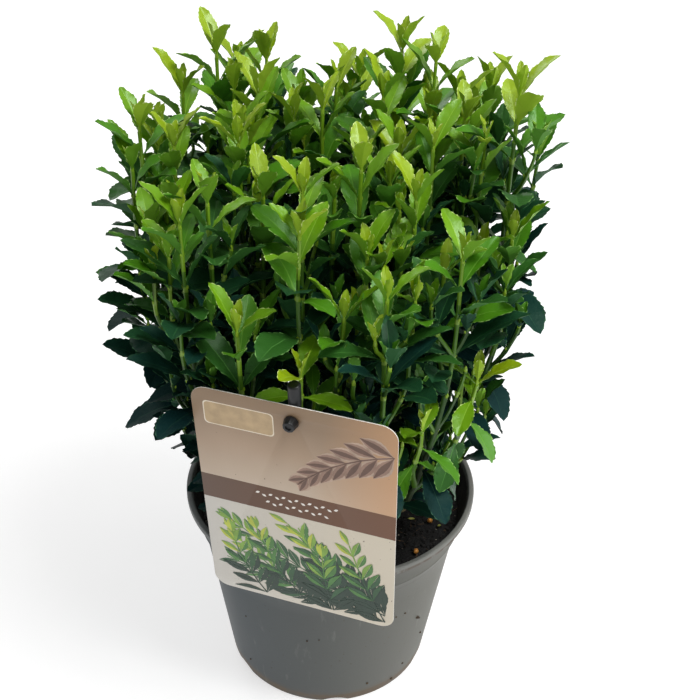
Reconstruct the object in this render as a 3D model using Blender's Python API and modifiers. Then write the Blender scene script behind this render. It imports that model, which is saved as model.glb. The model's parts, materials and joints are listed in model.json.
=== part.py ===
"""Japanese spindle in a pot: an upright evergreen shrub, its nursery pot and its label card.

Metres, +Z up, and the card faces -Y. The origin is the centre of the pot's flat underside.
Every limb and shoot is a function of height: its place on the plan is multiplied by the crown's
spread, so that the whole plant flares from its foot and then rises straight.
"""

import math
import random
from collections import namedtuple

import bmesh
import bpy
from mathutils import Matrix, Vector
from mathutils.bvhtree import BVHTree

# Pot: 17 cm, round, with a rolled lip, a collar and arched drain notches in its base edge
POT_HEIGHT = 0.124
LIP_RADIUS = 0.085
LIP_WIDTH = 0.0032
LIP_DEPTH = 0.0034
LIP_ROUNDING = 0.0010
LIP_OVERHANG = 0.0014
COLLAR_HEIGHT = 0.026
COLLAR_FOOT_RADIUS = 0.0768
BODY_STEP = 0.0010
BASE_RADIUS = 0.0622
BASE_ROUNDING = 0.0014
WALL = 0.0015
FLOOR = 0.0020
POT_STEPS = 30
NOTCH_COUNT = 6
NOTCH_WIDTH = 0.0175
NOTCH_HEIGHT = 0.0032
NOTCH_LENGTH = 0.016
NOTCH_STEPS = 32
FIRST_NOTCH = math.radians(-84)

# Compost: it fills the pot to a little under the lip, flat where the stems stand
COMPOST_TOP = POT_HEIGHT - 0.015
COMPOST_FLAT_RADIUS = 0.066
COMPOST_EDGE_DROP = 0.0020
COMPOST_FOOT_RADIUS = 0.050
COMPOST_FOOT_RISE = 0.0090

# Gap between solids that rest on or meet each other
CLEAR = 0.0003

MERGE_DISTANCE = 0.00001
SHARP_ANGLE = math.radians(50)

# Label card: 10 x 14 cm, leaning on the lip with its top towards the viewer
CARD_WIDTH = 0.101
CARD_HEIGHT = 0.140
CARD_THICKNESS = 0.0006
CARD_CORNER = 0.008
CARD_YAW = math.radians(-17.5)
CARD_PITCH = math.radians(-6)
CARD_SHIFT = 0.0136
CARD_RISE = 0.0586
HOLE_RADIUS = 0.0022
HOLE_DROP = 0.0092
CORNER_STEPS = 4
HOLE_STEPS = 12

# Peg: a black plastic rod behind the card, with a button through the card's hole
PEG_TOP_RADIUS = 0.0032
PEG_FOOT_RADIUS = 0.0015
PEG_STEPS = 12
PEG_ABOVE_HOLE = 0.0195
PEG_DEPTH = 0.038
PEG_WALL_CLEARANCE = 0.0066
PEG_BEHIND_CARD = 0.0045
NECK_RADIUS = 0.0016
BUTTON_RADIUS = 0.0038
BUTTON_THICKNESS = 0.0045
BUTTON_TAPER = 0.8
BUTTON_STEPS = 14

# Crown: how the plant spreads from its foot, and where a carrying limb hands over to its mass
FOOT_SPREAD = 0.55
FLARE_HEIGHT = 0.165
JOIN_HEIGHT = POT_HEIGHT + 0.019
FORK_HEIGHT = COMPOST_TOP + 0.008
CROWN_REACH = 0.1165
CROWN_MIDDLE_X = -0.006
CARD_CLEARANCE = 0.0030
SPACE_GAP = 0.0012
OPENING_POWER = 2.5
BOUGH_POWER = 1.6

# Limbs: woody stems out of the compost, and side boughs that leave them low down
STEM_RADIUS = 0.0032
BOUGH_RADIUS = 0.0023
JOIN_RADIUS = 0.0020
ROOT_FLARE = 0.0020
ROOT_FLARE_HEIGHT = 0.006
LIMB_POINTS = 5
LIMB_ROUNDNESS = 1
BOUGH_END = 0.005

# Shoots: green, upright, from a mass's stem to their tips
SHOOT_RADIUS = 0.0018
TIP_RADIUS = 0.0009
SHOOT_POINTS = 6
SPLIT_STEP = 0.005
OPENING_HEIGHT = 0.065
TIP_LEAF_RISE = 0.021
SWAY = 0.0022
SWAY_TURN = 4.0

# Leaves: opposite pairs, each turned a quarter from the pair below
NODE_GAP_TIP = 0.0155
NODE_GAP_GROWTH = 1.17
NODE_GAP_MOST = 0.027
LOWEST_NODE = 0.003
PAIR_STEP = 0.0004
LEAF_LENGTH_TIP = 0.025
LEAF_LENGTH = 0.043
LEAF_SLENDERNESS = 0.41
LEAF_THICKNESS = 0.0010
LEAF_FOLD = 0.30
# Degrees above the level at the tip, where the leaves reach full size, and at the foot
LIFT_TIP = 70
LIFT_GROWN = 38
LIFT_FOOT = -20
YOUNG_SHARE = 0.30
LENGTH_JITTER = 0.1
LIFT_JITTER = math.radians(9)
TURN_JITTER = math.radians(14)
LEAF_RECURVE = 0.16
LEAF_MIDDLE = 0.42
LEAF_CLEARANCE = 0.0014
LEAF_FREE_ROOT = 0.0045
# How far past the twig's middle a leaf's root lies, as a share of the twig's radius
LEAF_SINK = 0.30
# A leaf that would leave its mass's space is tried again: turned, raised by degrees, shortened
LEAF_TRIES = ((0, 0, 1.0), (0, 10, 0.94), (18, 6, 0.94), (-18, 6, 0.94), (0, 20, 0.86),
              (30, 14, 0.86), (-30, 14, 0.86), (0, -12, 0.86), (0, 30, 0.76), (44, 24, 0.74),
              (-44, 24, 0.74), (24, -14, 0.70), (-24, -14, 0.70), (64, 30, 0.66), (-64, 30, 0.66))
# Half of the outline from the root to the tip: share of the length, share of the width
LEAF_OUTLINE = ((0.0, 0.0), (0.30, 0.36), (0.68, 0.50), (1.0, 0.0))

SEED = 417

Mass = namedtuple("Mass", "name azimuth reach carrier tips")
Shoot = namedtuple("Shoot", "place start split tip sway phase")
Leaf = namedtuple("Leaf", "root forward up length")

# Masses of foliage: name, azimuth in degrees (-90 is the front), reach of the middle, the stem that
# its bough leaves, or None for its own stem, and its shoots' places on the plan with the height of
# their leaf tips above the lip
MASSES = (
    Mass("front", -86, 0.080, "heart_front",
         ((0.025, -0.080, 0.184), (-0.013, -0.088, 0.147), (0.006, -0.070, 0.168))),
    Mass("front_right", -46, 0.085, "heart_right",
         ((0.059, -0.060, 0.195), (0.076, -0.052, 0.123), (0.049, -0.075, 0.105))),
    Mass("right", -4, 0.078, None,
         ((0.086, 0.000, 0.252), (0.062, 0.010, 0.236), (0.086, -0.026, 0.190))),
    Mass("back_right", 38, 0.081, "heart_back_right",
         ((0.062, 0.040, 0.236), (0.078, 0.046, 0.238), (0.050, 0.064, 0.215))),
    Mass("back", 81, 0.084, "heart_back",
         ((0.010, 0.078, 0.236), (0.032, 0.080, 0.222), (-0.004, 0.092, 0.208))),
    Mass("back_left", 118, 0.088, None,
         ((-0.040, 0.070, 0.246), (-0.056, 0.078, 0.240), (-0.028, 0.088, 0.205))),
    Mass("left_back", 154, 0.087, "heart_left",
         ((-0.064, 0.050, 0.254), (-0.081, 0.040, 0.236), (-0.092, 0.024, 0.212))),
    Mass("left", 187, 0.087, "front_left",
         ((-0.096, 0.000, 0.231), (-0.079, -0.004, 0.223), (-0.088, -0.030, 0.190))),
    Mass("front_left", 229, 0.085, None,
         ((-0.057, -0.050, 0.215), (-0.068, -0.062, 0.209), (-0.042, -0.080, 0.165))),
    Mass("heart_front", -84, 0.044, None,
         ((-0.014, -0.050, 0.220), (0.012, -0.030, 0.225), (0.016, -0.052, 0.190))),
    Mass("heart_right", -22, 0.041, None,
         ((0.046, -0.010, 0.229), (0.038, -0.034, 0.212), (0.030, -0.002, 0.222))),
    Mass("heart_back_right", 41, 0.044, None,
         ((0.031, 0.040, 0.261), (0.022, 0.020, 0.243), (0.046, 0.026, 0.232))),
    Mass("heart_back", 106, 0.040, None,
         ((-0.002, 0.050, 0.238), (-0.008, 0.020, 0.236), (-0.022, 0.046, 0.228))),
    Mass("heart_left", 187, 0.040, None,
         ((-0.040, 0.022, 0.242), (-0.047, -0.010, 0.228), (-0.034, -0.028, 0.210))),
)

COLLECTION_NAME = "Potted japanese spindle"


def clear_scene():
    for item in list(bpy.data.objects):
        bpy.data.objects.remove(item, do_unlink=True)


def make_collection(name):
    collection = bpy.data.collections.new(name)
    bpy.context.scene.collection.children.link(collection)
    return collection


def make_material(name, color, roughness):
    material = bpy.data.materials.new(name)
    material.use_nodes = True
    shader = material.node_tree.nodes["Principled BSDF"]
    shader.inputs["Base Color"].default_value = (*color, 1.0)
    shader.inputs["Roughness"].default_value = roughness
    shader.inputs["Metallic"].default_value = 0.0
    return material


def add_mesh_object(name, mesh, material, collection):
    item = bpy.data.objects.new(name, mesh)
    if not mesh.materials:
        mesh.materials.append(material)
    collection.objects.link(item)
    return item


def mesh_from_bmesh(name, shape):
    mesh = bpy.data.meshes.new(name)
    shape.to_mesh(mesh)
    shape.free()
    return mesh


def evaluated_mesh(item):
    """The object's mesh with its modifiers or bevel applied, in its own space."""
    depsgraph = bpy.context.evaluated_depsgraph_get()
    return bpy.data.meshes.new_from_object(item.evaluated_get(depsgraph), depsgraph=depsgraph)


def shade_round(mesh):
    mesh.shade_smooth()
    mesh.set_sharp_from_angle(angle=SHARP_ANGLE)


def hide_helper(item):
    item.hide_render = True
    item.display_type = "WIRE"


def turned_object(name, profile, material, collection):
    """A profile of (radius, height) points turned about Z with a Screw modifier."""
    mesh = bpy.data.meshes.new(name)
    edges = [(i, i + 1) for i in range(len(profile) - 1)]
    mesh.from_pydata([(radius, 0.0, height) for radius, height in profile], edges, [])
    item = add_mesh_object(name, mesh, material, collection)
    screw = item.modifiers.new("Turn", "SCREW")
    screw.angle = math.tau
    screw.steps = POT_STEPS
    screw.render_steps = POT_STEPS
    screw.use_merge_vertices = True
    screw.merge_threshold = MERGE_DISTANCE
    bpy.context.view_layer.update()
    item.data = evaluated_mesh(item)
    item.modifiers.clear()
    shade_round(item.data)
    return item


def pot_inner_radius(height):
    """Radius of the pot's inner wall, which narrows below the collar more gently than above it."""
    collar_foot = POT_HEIGHT - COLLAR_HEIGHT
    collar_inner = COLLAR_FOOT_RADIUS - BODY_STEP - WALL
    base_inner = BASE_RADIUS - WALL
    if height > collar_foot:
        share = (height - collar_foot) / COLLAR_HEIGHT
        return collar_inner + share * (LIP_RADIUS - LIP_WIDTH - collar_inner)
    return base_inner + (height - FLOOR) / (collar_foot - FLOOR) * (collar_inner - base_inner)


def build_pot(material, collection, cutters):
    collar_foot = POT_HEIGHT - COLLAR_HEIGHT
    inner_lip = LIP_RADIUS - LIP_WIDTH
    profile = [
        (0.0, FLOOR),
        (pot_inner_radius(FLOOR), FLOOR),
        (pot_inner_radius(collar_foot), collar_foot),
        (inner_lip, POT_HEIGHT - LIP_ROUNDING),
        (inner_lip + LIP_ROUNDING, POT_HEIGHT),
        (LIP_RADIUS - LIP_ROUNDING, POT_HEIGHT),
        (LIP_RADIUS, POT_HEIGHT - LIP_ROUNDING),
        (LIP_RADIUS, POT_HEIGHT - LIP_DEPTH),
        (LIP_RADIUS - LIP_OVERHANG, POT_HEIGHT - LIP_DEPTH - LIP_ROUNDING),
        (COLLAR_FOOT_RADIUS, collar_foot),
        (COLLAR_FOOT_RADIUS - BODY_STEP, collar_foot - BODY_STEP),
        (BASE_RADIUS, BASE_ROUNDING),
        (BASE_RADIUS - BASE_ROUNDING, 0.0),
        (0.0, 0.0),
    ]
    pot = turned_object("pot", profile, material, collection)
    notches = bpy.data.collections.new("Drain notches")
    cutters.children.link(notches)
    arch_radius = (NOTCH_WIDTH ** 2 / 4 + NOTCH_HEIGHT ** 2) / (2 * NOTCH_HEIGHT)
    for i in range(NOTCH_COUNT):
        shape = bmesh.new()
        bmesh.ops.create_cone(shape, cap_ends=True, segments=NOTCH_STEPS, radius1=arch_radius,
                              radius2=arch_radius, depth=NOTCH_LENGTH)
        cutter = add_mesh_object(f"notch_cutter_{i + 1}", mesh_from_bmesh("notch", shape),
                                 material, notches)
        azimuth = FIRST_NOTCH + i * math.tau / NOTCH_COUNT
        cutter.rotation_euler = (0.0, math.pi / 2, azimuth)
        cutter.location = (BASE_RADIUS * math.cos(azimuth), BASE_RADIUS * math.sin(azimuth),
                           NOTCH_HEIGHT - arch_radius)
        hide_helper(cutter)
    cut = pot.modifiers.new("Drain notches", "BOOLEAN")
    cut.operation = "DIFFERENCE"
    cut.operand_type = "COLLECTION"
    cut.collection = notches
    return pot


def build_compost(material, collection, peg_cutter):
    edge_height = COMPOST_TOP - COMPOST_EDGE_DROP
    collar_foot = POT_HEIGHT - COLLAR_HEIGHT
    foot_height = FLOOR + COMPOST_FOOT_RISE
    profile = [
        (0.0, COMPOST_TOP),
        (COMPOST_FLAT_RADIUS, COMPOST_TOP),
        (pot_inner_radius(edge_height) - CLEAR, edge_height),
        (pot_inner_radius(collar_foot) - CLEAR, collar_foot),
        (pot_inner_radius(foot_height) - CLEAR, foot_height),
        (COMPOST_FOOT_RADIUS, FLOOR + CLEAR),
        (0.0, FLOOR + CLEAR),
    ]
    compost = turned_object("compost", profile, material, collection)
    cut = compost.modifiers.new("Peg slot", "BOOLEAN")
    cut.operation = "DIFFERENCE"
    cut.object = peg_cutter
    return compost


def card_axes():
    """The card's directions: across it, up it, and out of its printed face."""
    out = Vector((math.sin(CARD_YAW) * math.cos(CARD_PITCH),
                  -math.cos(CARD_YAW) * math.cos(CARD_PITCH), math.sin(CARD_PITCH)))
    across = Vector((math.cos(CARD_YAW), math.sin(CARD_YAW), 0.0))
    return across, out.cross(across), out


def card_point(x, y, z=0.0):
    """A point of the card, from its middle: across, up and out of the printed face."""
    across, up, out = card_axes()
    stand_off = LIP_RADIUS * math.cos(CARD_PITCH) + CARD_THICKNESS / 2 + CLEAR
    return (Vector((0.0, 0.0, POT_HEIGHT)) + across * (CARD_SHIFT + x) + up * (CARD_RISE + y)
            + out * (stand_off + z))


def matrix_from_axes(origin, x_axis, y_axis, z_axis):
    return Matrix.Translation(origin) @ Matrix((x_axis, y_axis, z_axis)).transposed().to_4x4()


def rounded_rectangle(width, height, corner, steps):
    points = []
    for quarter, (sx, sy) in enumerate(((1, 1), (-1, 1), (-1, -1), (1, -1))):
        centre = Vector((sx * (width / 2 - corner), sy * (height / 2 - corner)))
        for i in range(steps + 1):
            angle = math.pi / 2 * (quarter + i / steps)
            points.append(centre + corner * Vector((math.cos(angle), math.sin(angle))))
    return points


def circle_points(centre, radius, steps):
    return [centre + radius * Vector((math.cos(i * math.tau / steps), math.sin(i * math.tau / steps)))
            for i in range(steps)]


def add_closed_spline(curve, points):
    spline = curve.splines.new("POLY")
    spline.points.add(len(points) - 1)
    for target, point in zip(spline.points, points):
        target.co = (point.x, point.y, 0.0, 1.0)
    spline.use_cyclic_u = True


def build_card(material, collection):
    curve = bpy.data.curves.new("label_card", "CURVE")
    curve.dimensions = "2D"
    curve.fill_mode = "BOTH"
    curve.extrude = CARD_THICKNESS / 2
    add_closed_spline(curve, rounded_rectangle(CARD_WIDTH, CARD_HEIGHT, CARD_CORNER, CORNER_STEPS))
    hole = Vector((0.0, CARD_HEIGHT / 2 - HOLE_DROP))
    add_closed_spline(curve, circle_points(hole, HOLE_RADIUS, HOLE_STEPS))
    curve.materials.append(material)
    card = bpy.data.objects.new("label_card", curve)
    collection.objects.link(card)
    card.matrix_world = matrix_from_axes(card_point(0, 0), *card_axes())
    return card


def peg_line():
    """Foot and top of the peg's axis: inside the pot's wall, then up behind the card's hole."""
    hole = card_point(0.0, CARD_HEIGHT / 2 - HOLE_DROP, -PEG_BEHIND_CARD)
    azimuth = math.atan2(hole.y, hole.x)
    radius = LIP_RADIUS - LIP_WIDTH - PEG_WALL_CLEARANCE
    at_lip = Vector((radius * math.cos(azimuth), radius * math.sin(azimuth), POT_HEIGHT))
    direction = (hole - at_lip).normalized()
    foot = at_lip - direction * (PEG_DEPTH / direction.z)
    return foot, hole + direction * PEG_ABOVE_HOLE


def peg_rod_mesh(extra):
    """The rod, narrower towards its foot, fattened all round by extra."""
    foot, top = peg_line()
    upward = (top - foot).normalized()
    across = card_axes()[0]
    across = (across - upward * across.dot(upward)).normalized()
    shape = bmesh.new()
    bmesh.ops.create_cone(shape, cap_ends=True, segments=PEG_STEPS, radius1=PEG_FOOT_RADIUS + extra,
                          radius2=PEG_TOP_RADIUS + extra, depth=(top - foot).length + 2 * extra)
    shape.transform(matrix_from_axes((foot + top) / 2, across, upward.cross(across), upward))
    return mesh_from_bmesh("peg_rod", shape)


def join_by_union(base, pieces):
    """One Boolean union of base with all the pieces, applied; the pieces are then removed."""
    operands = bpy.data.collections.new("Pieces to join")
    bpy.context.scene.collection.children.link(operands)
    for piece in pieces:
        operands.objects.link(piece)
    union = base.modifiers.new("Join", "BOOLEAN")
    union.operation = "UNION"
    union.operand_type = "COLLECTION"
    union.collection = operands
    bpy.context.view_layer.update()
    joined = evaluated_mesh(base)
    base.modifiers.clear()
    base.data = joined
    for piece in list(operands.objects):
        bpy.data.objects.remove(piece, do_unlink=True)
    bpy.data.collections.remove(operands)


def build_peg(material, collection):
    peg = add_mesh_object("label_peg", peg_rod_mesh(0.0), material, collection)
    back = card_point(0.0, CARD_HEIGHT / 2 - HOLE_DROP, -PEG_BEHIND_CARD)
    front = card_point(0.0, CARD_HEIGHT / 2 - HOLE_DROP, CARD_THICKNESS / 2 + CLEAR)
    across, up, out = card_axes()
    pieces = []
    for name, radius, start, end in (
            ("peg_neck", NECK_RADIUS, back, front + out * BUTTON_THICKNESS / 2),
            ("peg_button", BUTTON_RADIUS, front, front + out * BUTTON_THICKNESS)):
        shape = bmesh.new()
        bmesh.ops.create_cone(shape, cap_ends=True, segments=BUTTON_STEPS, radius1=radius,
                              radius2=radius * BUTTON_TAPER, depth=(end - start).length)
        shape.transform(matrix_from_axes((start + end) / 2, across, up, out))
        pieces.append(add_mesh_object(name, mesh_from_bmesh(name, shape), material, collection))
    for piece in pieces:
        collection.objects.unlink(piece)
    join_by_union(peg, pieces)
    return peg


def crown_spread(height):
    """Share of its full reach that a shoot has at this height."""
    rise = min(max((height - COMPOST_TOP) / FLARE_HEIGHT, 0.0), 1.0)
    return FOOT_SPREAD + (1.0 - FOOT_SPREAD) * (1.0 - (1.0 - rise) ** 2)


def ease(share):
    """0 to 1 with a quick start and a slow end."""
    share = min(max(share, 0.0), 1.0)
    return 1.0 - (1.0 - share) ** OPENING_POWER


def plan_place(mass):
    angle = math.radians(mass.azimuth)
    return Vector((math.cos(angle), math.sin(angle))) * mass.reach


def at_height(place, height):
    """The point of the flaring crown that belongs to this place on the plan."""
    spread = place * crown_spread(height)
    return Vector((spread.x, spread.y, height))


def heights_between(low, high, count):
    return [low + (high - low) * i / (count - 1) for i in range(count)]


def stem_path(mass):
    """Points and radii of a stem from under the compost's top, where it is cut flat, to its tip."""
    points, radii = [], []
    foot = COMPOST_TOP - ROOT_FLARE_HEIGHT
    rows = heights_between(COMPOST_TOP + ROOT_FLARE_HEIGHT, JOIN_HEIGHT - BOUGH_END, LIMB_POINTS - 1)
    for height in [foot, COMPOST_TOP, *rows, JOIN_HEIGHT]:
        share = (height - foot) / (JOIN_HEIGHT - foot)
        flare = ROOT_FLARE * (height <= COMPOST_TOP)
        points.append(at_height(plan_place(mass), height))
        radii.append(STEM_RADIUS + (JOIN_RADIUS - STEM_RADIUS) * share + flare)
    return points, radii


def bough_path(mass, parent):
    """Points and radii of a bough: out from its parent's axis, then on along its mass's own path."""
    turned_up = JOIN_HEIGHT - BOUGH_END
    points, radii = [], []
    for height in heights_between(FORK_HEIGHT, turned_up, LIMB_POINTS) + [JOIN_HEIGHT]:
        share = min((height - FORK_HEIGHT) / (turned_up - FORK_HEIGHT), 1.0)
        place = plan_place(parent).lerp(plan_place(mass), 1.0 - (1.0 - share) ** BOUGH_POWER)
        points.append(at_height(place, height))
        radii.append(BOUGH_RADIUS + (JOIN_RADIUS - BOUGH_RADIUS) * share)
    return points, radii


def tube_object(name, points, radii, material, collection, section=None):
    """A tapering tube through the points, as a mesh: round, or with the section given."""
    curve = bpy.data.curves.new(name, "CURVE")
    curve.dimensions = "3D"
    curve.use_fill_caps = True
    if section:
        curve.bevel_mode = "OBJECT"
        curve.bevel_object = section
    else:
        curve.bevel_depth = 1.0
        curve.bevel_resolution = LIMB_ROUNDNESS
    spline = curve.splines.new("POLY")
    spline.points.add(len(points) - 1)
    for target, point, radius in zip(spline.points, points, radii):
        target.co = (*point, 1.0)
        target.radius = radius
    holder = bpy.data.objects.new(name + "_curve", curve)
    collection.objects.link(holder)
    bpy.context.view_layer.update()
    mesh = evaluated_mesh(holder)
    bpy.data.objects.remove(holder, do_unlink=True)
    shape = bmesh.new()
    shape.from_mesh(mesh)
    bmesh.ops.remove_doubles(shape, verts=shape.verts, dist=MERGE_DISTANCE)
    bmesh.ops.recalc_face_normals(shape, faces=shape.faces)
    shape.to_mesh(mesh)
    shape.free()
    shade_round(mesh)
    mesh.materials.clear()
    return add_mesh_object(name, mesh, material, collection)


def triangle_section(cutters):
    """The three-sided section of the twigs, one unit in radius."""
    curve = bpy.data.curves.new("twig_section", "CURVE")
    curve.dimensions = "2D"
    curve.fill_mode = "NONE"
    add_closed_spline(curve, circle_points(Vector((0.0, 0.0)), 1.0, 3))
    section = bpy.data.objects.new("twig_section", curve)
    cutters.objects.link(section)
    hide_helper(section)
    return section


def jitter(rng, most):
    return rng.uniform(-most, most)


def mass_shoots(mass, index):
    """The shoots of a mass: the first runs on from its stem, and the others leave the first."""
    rng = random.Random(SEED + index)
    shoots = []
    for i, (x, y, top) in enumerate(mass.tips):
        split = JOIN_HEIGHT + BOUGH_END + SPLIT_STEP * i
        start = shoot_place(shoots[0], split) if shoots else plan_place(mass)
        tip = POT_HEIGHT + top - TIP_LEAF_RISE
        sway = Vector((jitter(rng, SWAY), jitter(rng, SWAY)))
        shoots.append(Shoot(Vector((x, y)), start, split, tip, sway, rng.uniform(0, math.tau)))
    return shoots


def shoot_place(shoot, height):
    """Where a shoot is on the plan: it opens away from its start above its split, and sways."""
    opened = ease((height - shoot.split) / OPENING_HEIGHT)
    along = min(max((height - shoot.split) / (shoot.tip - shoot.split), 0.0), 1.0)
    sway = shoot.sway * math.sin(along * math.pi) * math.cos(along * SWAY_TURN + shoot.phase)
    return shoot.start.lerp(shoot.place, opened) + sway


def shoot_point(shoot, height):
    return at_height(shoot_place(shoot, height), height)


def shoot_radius(shoot, height):
    share = (height - shoot.split) / (shoot.tip - shoot.split)
    return SHOOT_RADIUS + (TIP_RADIUS - SHOOT_RADIUS) * share


def leaf_heights(shoot, lowest):
    """Heights of the leaf pairs from the tip down, further apart as they go."""
    height, gap, rows = shoot.tip - TIP_RADIUS, NODE_GAP_TIP, []
    while height > lowest:
        rows.append(height)
        height -= gap
        gap = min(gap * NODE_GAP_GROWTH, NODE_GAP_MOST)
    return rows


def leaf_pose(age):
    """Length and angle above the level of a leaf: age is 0 at the tip and 1 at the foot."""
    young = min(age / YOUNG_SHARE, 1.0)
    old = max(age - YOUNG_SHARE, 0.0) / (1.0 - YOUNG_SHARE)
    length = LEAF_LENGTH_TIP + (LEAF_LENGTH - LEAF_LENGTH_TIP) * young
    lift = LIFT_TIP + (LIFT_GROWN - LIFT_TIP) * young + (LIFT_FOOT - LIFT_GROWN) * old
    return length, math.radians(lift)


def make_leaf(shoot, height, azimuth, lift, roll, length):
    level = Vector((math.cos(azimuth), math.sin(azimuth), 0.0))
    forward = level * math.cos(lift) + Vector((0, 0, math.sin(lift)))
    up = Vector((0, 0, 1)) * math.cos(lift) - level * math.sin(lift)
    root = shoot_point(shoot, height) - level * LEAF_SINK * shoot_radius(shoot, height)
    return Leaf(root, forward, Matrix.Rotation(roll, 3, forward) @ up, length)


def shoot_leaves(shoot, lowest, rng, fits):
    """The leaves of one shoot in opposite pairs; one that never fits its space is skipped."""
    leaves = []
    first_turn = rng.uniform(0, math.pi)
    for row, height in enumerate(leaf_heights(shoot, lowest)):
        age = (shoot.tip - height) / (shoot.tip - JOIN_HEIGHT)
        for side in (0, 1):
            length, lift = leaf_pose(age)
            length *= 1 + jitter(rng, LENGTH_JITTER)
            lift += jitter(rng, LIFT_JITTER)
            azimuth = first_turn + side * math.pi + row * math.pi / 2 + jitter(rng, TURN_JITTER)
            roll = jitter(rng, TURN_JITTER)
            for turned, raised, shortened in LEAF_TRIES:
                leaf = make_leaf(shoot, height + side * PAIR_STEP, azimuth + math.radians(turned),
                                 lift + math.radians(raised), roll, length * shortened)
                if fits(leaf):
                    leaves.append(leaf)
                    break
    return leaves


def leaf_surface_point(leaf, along, aside, rise=0.0):
    """A point of the leaf: folded up from its midrib and bent down towards its tip."""
    side = leaf.up.cross(leaf.forward)
    lift = LEAF_FOLD * abs(aside) - LEAF_RECURVE * leaf.length * along ** 2 + rise
    return leaf.root + leaf.forward * (along * leaf.length) + side * aside + leaf.up * lift


def leaf_ring(leaf):
    """The outline's points, round the leaf from the root by one side to the tip and back."""
    width = leaf.length * LEAF_SLENDERNESS
    outward = [leaf_surface_point(leaf, along, aside * width) for along, aside in LEAF_OUTLINE]
    back = [leaf_surface_point(leaf, along, -aside * width) for along, aside in LEAF_OUTLINE[-2:0:-1]]
    return outward + back


def leaf_poles(leaf):
    """The points under and over the middle of the midrib."""
    return [leaf_surface_point(leaf, LEAF_MIDDLE, 0.0, rise)
            for rise in (-LEAF_THICKNESS / 2, LEAF_THICKNESS / 2)]


def leaf_samples(leaf):
    """Points all over the leaf, for the tests of space and clearance; the sunk root is left out."""
    ring = leaf_ring(leaf)
    middles = [(a + b) / 2 for a, b in zip(ring, ring[1:] + ring[:1])]
    return ring[1:] + middles + leaf_poles(leaf)


def leaf_tree(leaf):
    """The leaf's surface past its root, to find what it would cross."""
    ring = leaf_ring(leaf)
    count = len(ring)
    ring[0] = leaf_surface_point(leaf, LEAF_FREE_ROOT / leaf.length, 0.0)
    fans = [(i, (i + 1) % count, pole) for i in range(count) for pole in (count, count + 1)]
    return BVHTree.FromPolygons(ring + leaf_poles(leaf), fans)


def mesh_tree(mesh):
    return BVHTree.FromPolygons([vertex.co for vertex in mesh.vertices],
                                [tuple(face.vertices) for face in mesh.polygons])


def leaf_mesh(leaf):
    """A sphere of two rings of triangles, its equator drawn to the outline."""
    ring, poles = leaf_ring(leaf), leaf_poles(leaf)
    shape = bmesh.new()
    bmesh.ops.create_uvsphere(shape, u_segments=len(ring), v_segments=2, radius=1.0)
    for vertex in shape.verts:
        if abs(vertex.co.z) > 0.5:
            vertex.co = poles[vertex.co.z > 0]
        else:
            turn = math.atan2(vertex.co.y, vertex.co.x) % math.tau
            vertex.co = ring[round(turn / math.tau * len(ring)) % len(ring)]
    bmesh.ops.recalc_face_normals(shape, faces=shape.faces)
    return mesh_from_bmesh("leaf", shape)


def in_own_space(point, mass):
    """True where the point is nearer to this mass's middle on the plan than to any other's."""
    spread = crown_spread(point.z)
    flat = Vector((point.x, point.y)) / spread
    own = plan_place(mass)
    for other in MASSES:
        if other is mass:
            continue
        towards = plan_place(other) - own
        past_border = (flat - (own + plan_place(other)) / 2).dot(towards.normalized()) * spread
        if past_border > -SPACE_GAP / 2:
            return False
    return True


def distance_to_path(point, path):
    """Distance from a point to a limb's surface."""
    points, radii = path
    nearest = math.inf
    for a, b, radius in zip(points, points[1:], radii):
        span = b - a
        share = min(max((point - a).dot(span) / span.length_squared, 0.0), 1.0)
        nearest = min(nearest, (a + span * share - point).length - radius)
    return nearest


def clear_of_pot_and_card(point):
    """True where a leaf's point stays off the compost, the lip and the card, and in the crown's reach."""
    radius = math.hypot(point.x, point.y)
    if math.hypot(point.x - CROWN_MIDDLE_X, point.y) > CROWN_REACH:
        return False
    if point.z < COMPOST_TOP + LEAF_CLEARANCE and radius < LIP_RADIUS:
        return False
    near_lip = LIP_RADIUS - LIP_WIDTH - LEAF_CLEARANCE < radius < LIP_RADIUS + LEAF_CLEARANCE
    if near_lip and point.z < POT_HEIGHT + LEAF_CLEARANCE:
        return False
    across, up, out = card_axes()
    offset = point - card_point(0, 0)
    beside = abs(offset.dot(across)) > CARD_WIDTH / 2 + CARD_CLEARANCE
    beyond = abs(offset.dot(up)) > CARD_HEIGHT / 2 + CARD_CLEARANCE
    return beside or beyond or offset.dot(out) < -CARD_CLEARANCE


def leaf_fits(leaf, mass, limbs):
    for point in leaf_samples(leaf):
        if not in_own_space(point, mass) or not clear_of_pot_and_card(point):
            return False
        if any(distance_to_path(point, path) < LEAF_CLEARANCE for path in limbs):
            return False
    return True


def largest_body(mesh):
    """Drops what a union leaves loose: scraps, and the walls of sealed hollows."""
    shape = bmesh.new()
    shape.from_mesh(mesh)
    unseen = set(shape.verts)
    bodies = []
    while unseen:
        front = [unseen.pop()]
        body = set(front)
        while front:
            vertex = front.pop()
            for edge in vertex.link_edges:
                other = edge.other_vert(vertex)
                if other in unseen:
                    unseen.discard(other)
                    body.add(other)
                    front.append(other)
        bodies.append(body)
    keep = max(bodies, key=len)
    for body in bodies:
        if body is not keep:
            bmesh.ops.delete(shape, geom=list(body), context="VERTS")
    shape.to_mesh(mesh)
    shape.free()


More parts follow.
